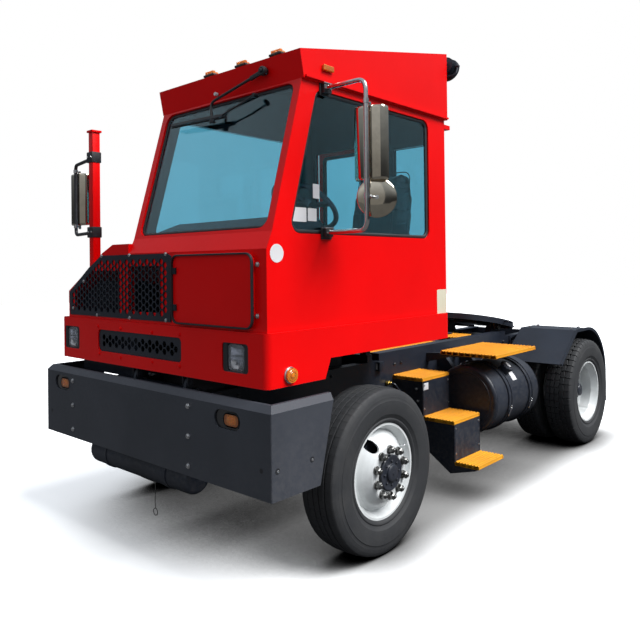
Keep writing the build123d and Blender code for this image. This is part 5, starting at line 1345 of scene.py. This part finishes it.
def makeTankDress(values):
    tank = values["tank"]
    x, z, radius = tank["x"], tank["z"], tank["radius"]
    bands, steel, white = Shape(), Shape(), Shape()
    for y in tank["straps"]:
        for edge in (-0.026, 0.026):
            centre = Vector((x, axleY + y + edge - 0.004, z))
            bands.lathe(centre, (0, 1, 0), [(0, radius + 0.003), (0, radius + 0.010), (0.002, radius + 0.012),
                                            (0.006, radius + 0.012), (0.008, radius + 0.010),
                                            (0.008, radius + 0.003)], 96, closed=True)
        for angle in (118, -20):
            out = Vector((math.cos(math.radians(angle)), 0, math.sin(math.radians(angle))))
            spot = Vector((x, axleY + y, z)) + out * (radius + 0.012)
            turn = Matrix((Vector((0, 1, 0)), out.cross(Vector((0, 1, 0))) * -1, out)).transposed()
            bands.block(spot, (0.046, 0.050, 0.016), 0.003, turn)
            side = out.cross(Vector((0, 1, 0)))
            steel.rod(spot + out * 0.004 - side * 0.040, spot + out * 0.004 + side * 0.055, 0.006, 10)
            steel.rod(spot + out * 0.004 + side * 0.028, spot + out * 0.004 + side * 0.040, 0.011, 6)
    for y in (tank["front"] + 0.026, tank["rear"] - 0.034):
        bands.lathe((x, axleY + y, z), (0, 1, 0), [(0, radius - 0.001), (0.002, radius + 0.002),
                                                            (0.006, radius + 0.002), (0.008, radius - 0.001)], 96)
    for y, facing in ((tank["front"], -1), (tank["rear"], 1)):
        bands.lathe((x, axleY + y, z), (0, facing, 0), [(-0.002, 0.236), (0.004, 0.232), (0.004, 0.222),
                                                                (-0.002, 0.218)], 72, closed=True)
    bands.rod((x, axleY + 1.97, z - radius + 0.004), (x, axleY + 1.97, z - radius - 0.012), 0.022, 6)
    out = Vector((math.sin(math.radians(40)), 0, math.cos(math.radians(40))))
    neck = Vector((x, axleY + tank["front"] + 0.330, z)) + out * (radius + 0.036)
    cap = [(0.0, 0.050), (0.004, 0.054), (0.022, 0.054), (0.027, 0.050), (0.029, 0.036), (0.026, 0.030), (0.026, 0)]
    bands.lathe(neck, out, cap, 36)
    for n in range(12):
        angle = 2 * math.pi * n / 12
        first, second = Vector((0, 1, 0)), out.cross(Vector((0, 1, 0)))
        spoke = first * math.cos(angle) + second * math.sin(angle)
        turn = Matrix((spoke, out.cross(spoke), out)).transposed()
        bands.block(neck + out * 0.013 + spoke * 0.054, (0.006, 0.010, 0.020), 0.002, turn)
    white.block(neck + out * 0.031 + Vector((0, 0.0, 0)), (0.054, 0.030, 0.010), 0.004,
                Matrix((out.cross((0, 1, 0)), (0, 1, 0), out)).transposed())
    for y, angle, width, height in values["tankLabels"]:
        rings = []
        for step in range(7):
            turn = math.radians(angle) - height / radius / 2 + height / radius * step / 6
            spoke = Vector((math.cos(turn), 0, math.sin(turn)))
            rings.append([white.mesh.verts.new(Vector((x, axleY + y + side * width / 2, z)) + spoke * (radius + up))
                          for side, up in ((-1, 0.0), (-1, 0.0008), (1, 0.0008), (1, 0.0))])
        white.skin(rings)
    joined("tankDress", "chassis", "black_paint", (bands, blackPaint),
           (steel, brightSteel), (white, labelPaint))


makeTankDress(sideValues)


def makeStepDress():
    dark, steel, white, brass = Shape(), Shape(), Shape(), Shape()
    front = axleY + 1.091
    for x, z in sideValues["riserBolts"]:
        steel.lathe((x / 1000, front, z / 1000), (0, -1, 0), [(0, 0.012), (0.003, 0.012), (0.004, 0.008),
                                                                      (0.010, 0.008), (0.011, 0.006), (0.011, 0)], 12)
    for (x, z0, z1) in ((0.729, 0.608, 0.874), (1.013, 0.302, 0.573)):
        for y in (front + 0.018, front + 0.376):
            for z in (z0 + 0.05, z1 - 0.03):
                steel.lathe((x, y, z), (1, 0, 0), [(0, 0.009), (0.002, 0.009), (0.003, 0.006), (0.007, 0.005),
                                                           (0.007, 0)], 12)
        dark.span((x - 0.002, front + 0.006, z0 + 0.004), (x + 0.003, front + 0.012, z1 + 0.004), 0.001)
        dark.span((x - 0.002, front + 0.382, z0 + 0.004), (x + 0.003, front + 0.388, z1 + 0.004), 0.001)
    white.span((0.728, front + 0.004, 0.806), (0.7305, front + 0.078, 0.862), 0.0008)
    dark.span((0.360, axleY + 0.868, 0.960), (0.470, axleY + 0.930, 1.036), 0.008)
    white.span((0.380, axleY + 0.866, 0.975), (0.450, axleY + 0.868, 1.020), 0.0006)
    brass.rod((0.432, axleY + 1.005, 0.848), (0.468, axleY + 1.005, 0.848), 0.020, 6)
    brass.rod((0.462, axleY + 1.005, 0.848), (0.486, axleY + 1.005, 0.848), 0.013, 16)
    dark.tube([(0.482, axleY + 1.005, 0.848), (0.520, axleY + 1.005, 0.846),
               (0.524, axleY + 1.040, 0.800), (0.524, axleY + 1.082, 0.780)], 0.009, 0.03, 10)
    joined("stepDress", "chassis", "black_paint", (dark, blackPaint),
           (steel, brightSteel), (white, labelPaint),
           (brass, brassMetal))


makeStepDress()
print("side fittings done")

# Front door seal and bumper details
def makeHatchSeal():
    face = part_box("access_door")[0].y + 0.012
    shape = Shape()
    corners = [Vector((x, face, z)) for x, z in ((0.293, 1.478), (1.015, 1.478), (1.015, 1.880), (0.293, 1.880))]
    line = rounded(corners, 0.055, closed=True, steps=10)
    shape.sweep(line, [(-0.003, -0.003), (-0.003, 0.011), (0.004, 0.012), (0.007, 0.009), (0.007, -0.003)],
                (0, -1, 0), closed=True)
    shape.piece("hatchSeal", "service_door", sealRubber, "black_paint")


makeHatchSeal()


def makeBumperHoleShades():
    dark, steel = Shape(), Shape()
    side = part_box("front_bumper")[1].x
    # Painted shade: thin near-black discs on the bumper stand in for the shade inside its holes, with a small steel
    # disc in each side one.
    for y, z in ((-0.979, 0.766), (-0.722, 0.768)):
        dark.lathe((side, axleY + y, z), (1, 0, 0), [(0, 0.016), (0.0008, 0.016), (0.0008, 0.0)], 20)
        steel.lathe((side + 0.0008, axleY + y + 0.004, z - 0.003), (1, 0, 0),
                    [(0, 0.008), (0.002, 0.007), (0.002, 0)], 12)
    for x in (1.143, -1.143):
        dark.lathe((x, bumperFace, 0.763), (0, -1, 0), [(0, 0.013), (0.0008, 0.013), (0.0008, 0)], 20)
    joined("bumperHoles", "chassis", "black_paint", (dark, sealRubber),
           (steel, brightSteel))


makeBumperHoleShades()
print("front details done")

# Chassis dress
restValues = {"railBolts": (-840, -560, 120, 330, 1120, 1210, 2060, 2660, 2760, 3060, 3640, 3740, 3860),
              "railRows": (835, 990), "boltRadius": 0.012, "boltHeight": 0.011,
              "exhaust": (-640, 1039, 120), "bands": (1190, 1640, 2090), "shield": (1250, 2030, 131)}


def makeRailBolts(values):
    for side in (-1, 1):
        points = [at(side * 432, y, z) for y in values["railBolts"] for z in values["railRows"]]
        screwsOn("railBoltsLeft" if side > 0 else "railBoltsRight", "chassis", points, (side, 0, 0), darkSteel,
                 "black_paint", values["boltRadius"], values["boltHeight"], 6)


def makeExhaustDress(values):
    x, y, radius = values["exhaust"]
    steel = Shape()
    for z in values["bands"]:
        steel.lathe(at(x, y, z - 16), (0, 0, 1), [(0, radius / 1000 - 0.001), (0, radius / 1000 + 0.003),
                                                  (0.032, radius / 1000 + 0.003), (0.032, radius / 1000 - 0.001)], 48)
        steel.span(at(x - 22, y + radius - 2, z - 14), at(x - 12, y + radius + 34, z + 14), 0.002)
        steel.span(at(x + 12, y + radius - 2, z - 14), at(x + 22, y + radius + 34, z + 14), 0.002)
        steel.rod(at(x - 34, y + radius + 20, z), at(x + 34, y + radius + 20, z), 0.006, 12)
    low, high, reach = values["shield"]
    for n in range(-7, 8):
        turn = math.radians(180 + n * 9)
        slat = Vector((math.cos(turn), math.sin(turn), 0))
        foot = at(x, y, low) + slat * reach / 1000
        side = Vector((-slat.y, slat.x, 0))
        outline = [foot - side * 0.006, foot + side * 0.006, foot + side * 0.006 + Vector((0, 0, (high - low) / 1000)),
                   foot - side * 0.006 + Vector((0, 0, (high - low) / 1000))]
        steel.plate(outline, 0.002)
    for z in (low, (low + high) / 2, high):
        arc = [at(x, y, z) + Vector((math.cos(math.radians(a)), math.sin(math.radians(a)), 0)) * (reach - 2) / 1000
               for a in range(112, 249, 4)]
        steel.sweep(arc, [(-0.0015, -0.012), (0.0015, -0.012), (0.0015, 0.012), (-0.0015, 0.012)], (0, 0, 1))
    steel.piece("exhaustDress", "chassis", darkSteel, "black_paint")


def makeLatches():
    steel, rubber = Shape(), Shape()
    for y in (1010, 1390):
        steel.span(at(-769, y - 26, 850), at(-758, y + 26, 905), 0.003)
        steel.span(at(-783, y - 18, 962), at(-773, y + 18, 983), 0.003)
        steel.tube([at(-766, y - 14, 880), at(-781, y - 14, 950), at(-781, y - 14, 990), at(-781, y + 14, 990),
                    at(-781, y + 14, 950), at(-766, y + 14, 880)], 0.003, 0.008, 8)
        rubber.span(at(-773, y - 12, 862), at(-766, y + 12, 895), 0.003)
    for y in (1080, 1200, 1320):
        steel.span(at(-764, y - 34, 700), at(-759, y + 34, 706), 0.001)
        steel.span(at(-764, y - 34, 720), at(-759, y + 34, 726), 0.001)
    joined("batteryLatches", "chassis", "bright_steel", (steel, nutSteel),
           (rubber, sealRubber))


def makeFenderBolts():
    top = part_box("fender_left")[1].z
    for side, name in ((1, "fenderBoltsLeft"), (-1, "fenderBoltsRight")):
        points = [Vector((side * x, axleY + y, top)) for x in (0.680, 1.110) for y in (3.190, 3.380)]
        screwsOn(name, "chassis", points, (0, 0, 1), brightSteel, "bright_steel", 0.011, 0.008, 6)


def makeDrain():
    wire = Shape()
    wire.rod(at(5, -900, 462), at(5, -900, 440), 0.013, 6, 0.002)
    wire.rod(at(5, -900, 442), at(5, -900, 428), 0.006, 12)
    wire.tube([at(5, -900, 430), at(7, -899, 380), at(3, -901, 330), at(6, -900, 272)], 0.0022, 0.03, 8)
    loop = [at(6, -900, 250) + Vector((math.cos(a * math.pi / 12) * 0.022, 0, math.sin(a * math.pi / 12) * 0.022))
            for a in range(24)]
    wire.sweep(loop, ring(0.0025, 8), (0, 1, 0), closed=True)
    wire.piece("tankDrain", "chassis", nutSteel, "bright_steel")


def makeCouplerDress():
    steel = Shape()
    for side in (-1, 1):
        pin = at(side * 300, 3140, 1140)
        steel.lathe(pin, (side, 0, 0), [(0, 0.030), (0.050, 0.030), (0.054, 0.026), (0.054, 0.0)], 24)
    steel.piece("couplerPins", "coupler", nutSteel, "cast_iron")


def makeRailPipes():
    pipe, clips = Shape(), Shape()
    for side, drop in ((-1, 930), (1, 905)):
        inner = side * 415
        line = [at(inner, -700, drop), at(inner, 300, drop), at(inner, 1250, drop - 12), at(inner, 2500, drop),
                at(inner, 3700, drop)]
        pipe.tube(line, 0.010, 0.1, 10)
        for y in (-500, 100, 700, 1500, 2100, 2800, 3400):
            clips.span(at(inner - 12, y - 10, drop - 16), at(inner + 12, y + 10, drop + 14), 0.002)
    joined("railPipes", "chassis", "black_paint", (pipe, sealRubber), (clips, nutSteel))


makeRailBolts(restValues)
makeExhaustDress(restValues)
makeLatches()
makeFenderBolts()
makeDrain()
makeCouplerDress()
makeRailPipes()
print("chassis dress done")

# Driver's seat
seatValues = {"x": 0.740, "voxel": 0.006, "pressure": 4.0, "cap": 0.022, "frames": 20,
              "cushion": ((0.0, 0.250, 1.815), (0.500, 0.530, 0.118), 0.0),
              "back": ((0.0, 0.560, 2.165), (0.480, 0.112, 0.615), 10.0)}


def padShape(name, size, dish, nose):
    shape = Shape()
    width, deep, high = size
    shape.block((0, 0, 0), size, min(size) * 0.36, segments=5)
    bmesh.ops.subdivide_edges(shape.mesh, edges=list(shape.mesh.edges), cuts=3, use_grid_fill=True)
    for vert in shape.mesh.verts:
        u, v, w = vert.co.x / width * 2, vert.co.y / deep * 2, vert.co.z / high * 2
        side = max(0.0, (abs(u) - 0.55) / 0.45)
        if dish == "z" and w > 0:
            vert.co.z += 0.018 * side ** 2 - nose * max(0.0, -v - 0.4) ** 2
        if dish == "y" and v < 0:
            vert.co.y -= 0.020 * side ** 2
        if dish == "y":
            vert.co.x *= 1.06 - 0.34 * max(0.0, w - 0.1) ** 2
    return shape


def swell(mesh, name, values):
    pad = bpy.data.objects.new(name, mesh)
    scene.collection.objects.link(pad)
    bpy.context.view_layer.objects.active = pad
    remesh = pad.modifiers.new("remesh", "REMESH")
    remesh.mode, remesh.voxel_size = "VOXEL", values["voxel"]
    bake(pad)
    rest = [vert.co.copy() for vert in pad.data.vertices]
    cloth = pad.modifiers.new("cloth", "CLOTH").settings
    cloth.quality, cloth.mass = 4, 0.3
    cloth.use_pressure, cloth.uniform_pressure_force = True, values["pressure"]
    cloth.effector_weights.gravity = 0
    cloth.tension_stiffness = cloth.compression_stiffness = 12
    for frame_number in range(1, values["frames"] + 1):
        scene.frame_set(frame_number)
    bake(pad)
    scene.frame_set(1)
    for vert, start in zip(pad.data.vertices, rest):
        move = vert.co - start
        vert.co = start + move * min(1.0, values["cap"] / max(move.length, 1e-6))
    mesh = pad.data
    bpy.data.objects.remove(pad)
    return mesh


def bake(obj):
    mesh = bpy.data.meshes.new_from_object(obj.evaluated_get(bpy.context.evaluated_depsgraph_get()))
    obj.modifiers.clear()
    obj.data = mesh


def grooved(mesh, lines, axis, depth, reach=0.012):
    other, up = {"z": (0, 2), "y": (0, 1)}[axis]
    for vert in mesh.vertices:
        outward = vert.normal.z if axis == "z" else -vert.normal.y
        if outward < 0.35:
            continue
        for along, level in lines:
            place = vert.co[0] if along == "x" else (vert.co.y if axis == "z" else vert.co.z)
            gap = abs(place - level)
            if gap < reach:
                sink = depth * (1 - gap / reach) ** 2 * min(1.0, (outward - 0.35) * 3)
                vert.co[up] += -sink if axis == "z" else sink


def fabricMaterial():
    surface = Surface("seatFabric")
    weave = surface.add("ShaderNodeTexVoronoi", {"Scale": 420.0, "Vector": surface.place}).outputs["Distance"]
    cloud = surface.noise(5.0, 4)
    colour = surface.mix(surface.range(cloud, 0.35, 0.65), (0.020, 0.022, 0.026), (0.034, 0.036, 0.042))
    surface.set("Base Color", surface.mix(surface.range(weave, 0.0, 0.6), colour,
                                          (0.055, 0.058, 0.066)))
    surface.set("Roughness", surface.range(cloud, 0.3, 0.7, 0.78, 0.92))
    surface.set("Sheen Weight", 0.3)
    surface.bump(weave, 0.4, 0.0015)
    return surface.material


seatFabric = fabricMaterial()


def makePad(name, part, dish, lines, values, seamOut):
    (x, y, z), size, lean = values[part]
    mesh = swell(padShape(name, size, dish, 0.10).data(name, seatFabric), name, values)
    grooved(mesh, lines, dish, 0.010)
    turn = Matrix.Rotation(math.radians(-lean), 4, "X")
    place = Matrix.Translation((values["x"] + x, axleY + y, z)) @ turn
    seams = Shape()
    width, deep, high = size
    if dish == "z":
        loop = [Vector((u * (width / 2 + seamOut), v * (deep / 2 + seamOut), 0.022)) for u, v in
                ((-1, -1), (1, -1), (1, 1), (-1, 1))]
        seams.sweep(rounded(loop, 0.07, closed=True), ring(0.004, 8), (0, 0, 1), closed=True)
    else:
        loop = [Vector((u * (width / 2 + seamOut), -0.020, w * (high / 2 + seamOut))) for u, w in
                ((-1, -1), (1, -1), (0.93, 1), (-0.93, 1))]
        seams.sweep(rounded(loop, 0.07, closed=True), ring(0.004, 8), (0, -1, 0), closed=True)
    piping = seams.data(name, sealRubber)
    for data in (mesh, piping):
        data.transform(place)
        data.shade_smooth()
    mesh.materials.clear()
    mesh.materials.append(seatFabric)
    pad = joined(name, "cab", "seat_fabric", mesh, piping)
    smooth = pad.modifiers.new("smooth", "SUBSURF")
    smooth.levels = smooth.render_levels = 1
    bake(pad)
    return pad


seatCushion = makePad("seatCushion", "cushion", "z", [("x", -0.155), ("x", 0.155), ("y", -0.09), ("y", 0.08)],
                      seatValues, 0.012)
seatBack = makePad("seatBack", "back", "y", [("x", -0.150), ("x", 0.150), ("z", -0.16), ("z", 0.02), ("z", 0.19)],
                   seatValues, 0.010)


def makeSeatBase(values):
    x, y = values["x"], axleY
    metal, rubber = Shape(), Shape()
    metal.span((x - 0.190, y + 0.040, 1.330), (x + 0.190, y + 0.490, 1.352), 0.004)
    for side in (-1, 1):
        metal.span((x + side * 0.165 - 0.018, y + 0.030, 1.690), (x + side * 0.165 + 0.018, y + 0.500, 1.722), 0.004)
        metal.span((x + side * 0.190 - 0.012, y + 0.020, 1.722), (x + side * 0.190 + 0.012, y + 0.520, 1.748), 0.003)
        metal.rod((x + side * 0.262, y + 0.500, 1.780), (x + side * 0.240, y + 0.500, 1.780), 0.045)
        metal.sweep([Vector((x + side * 0.252, y + 0.500, 1.760)), Vector((x + side * 0.252, y + 0.530, 1.900)),
                     Vector((x + side * 0.250, y + 0.540, 1.980))],
                    [(-0.004, -0.022), (0.004, -0.022), (0.004, 0.022), (-0.004, 0.022)], (0, 1, 0))
    rings = []
    for n in range(13):
        wide = 0.150 + (0.012 if n % 2 else -0.006)
        loop = rounded([Vector((x + u * wide, y + 0.27 + v * (wide + 0.03), 1.352 + n * 0.028)) for u, v in
                        ((-1, -1), (1, -1), (1, 1), (-1, 1))], 0.04, closed=True)
        rings.append([rubber.mesh.verts.new(point) for point in loop])
    rubber.skin(rings)
    metal.tube([(x + 0.10, y + 0.02, 1.735), (x + 0.10, y - 0.03, 1.730),
                (x - 0.10, y - 0.03, 1.730), (x - 0.10, y + 0.02, 1.735)], 0.007, 0.02, 10)
    base = joined("seatBase", "cab", "black_paint", (metal, blackPaint),
                  (rubber, sealRubber))
    for piece in (base, seatCushion, seatBack):
        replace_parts(piece, "seat")


makeSeatBase(seatValues)
print("seat done")
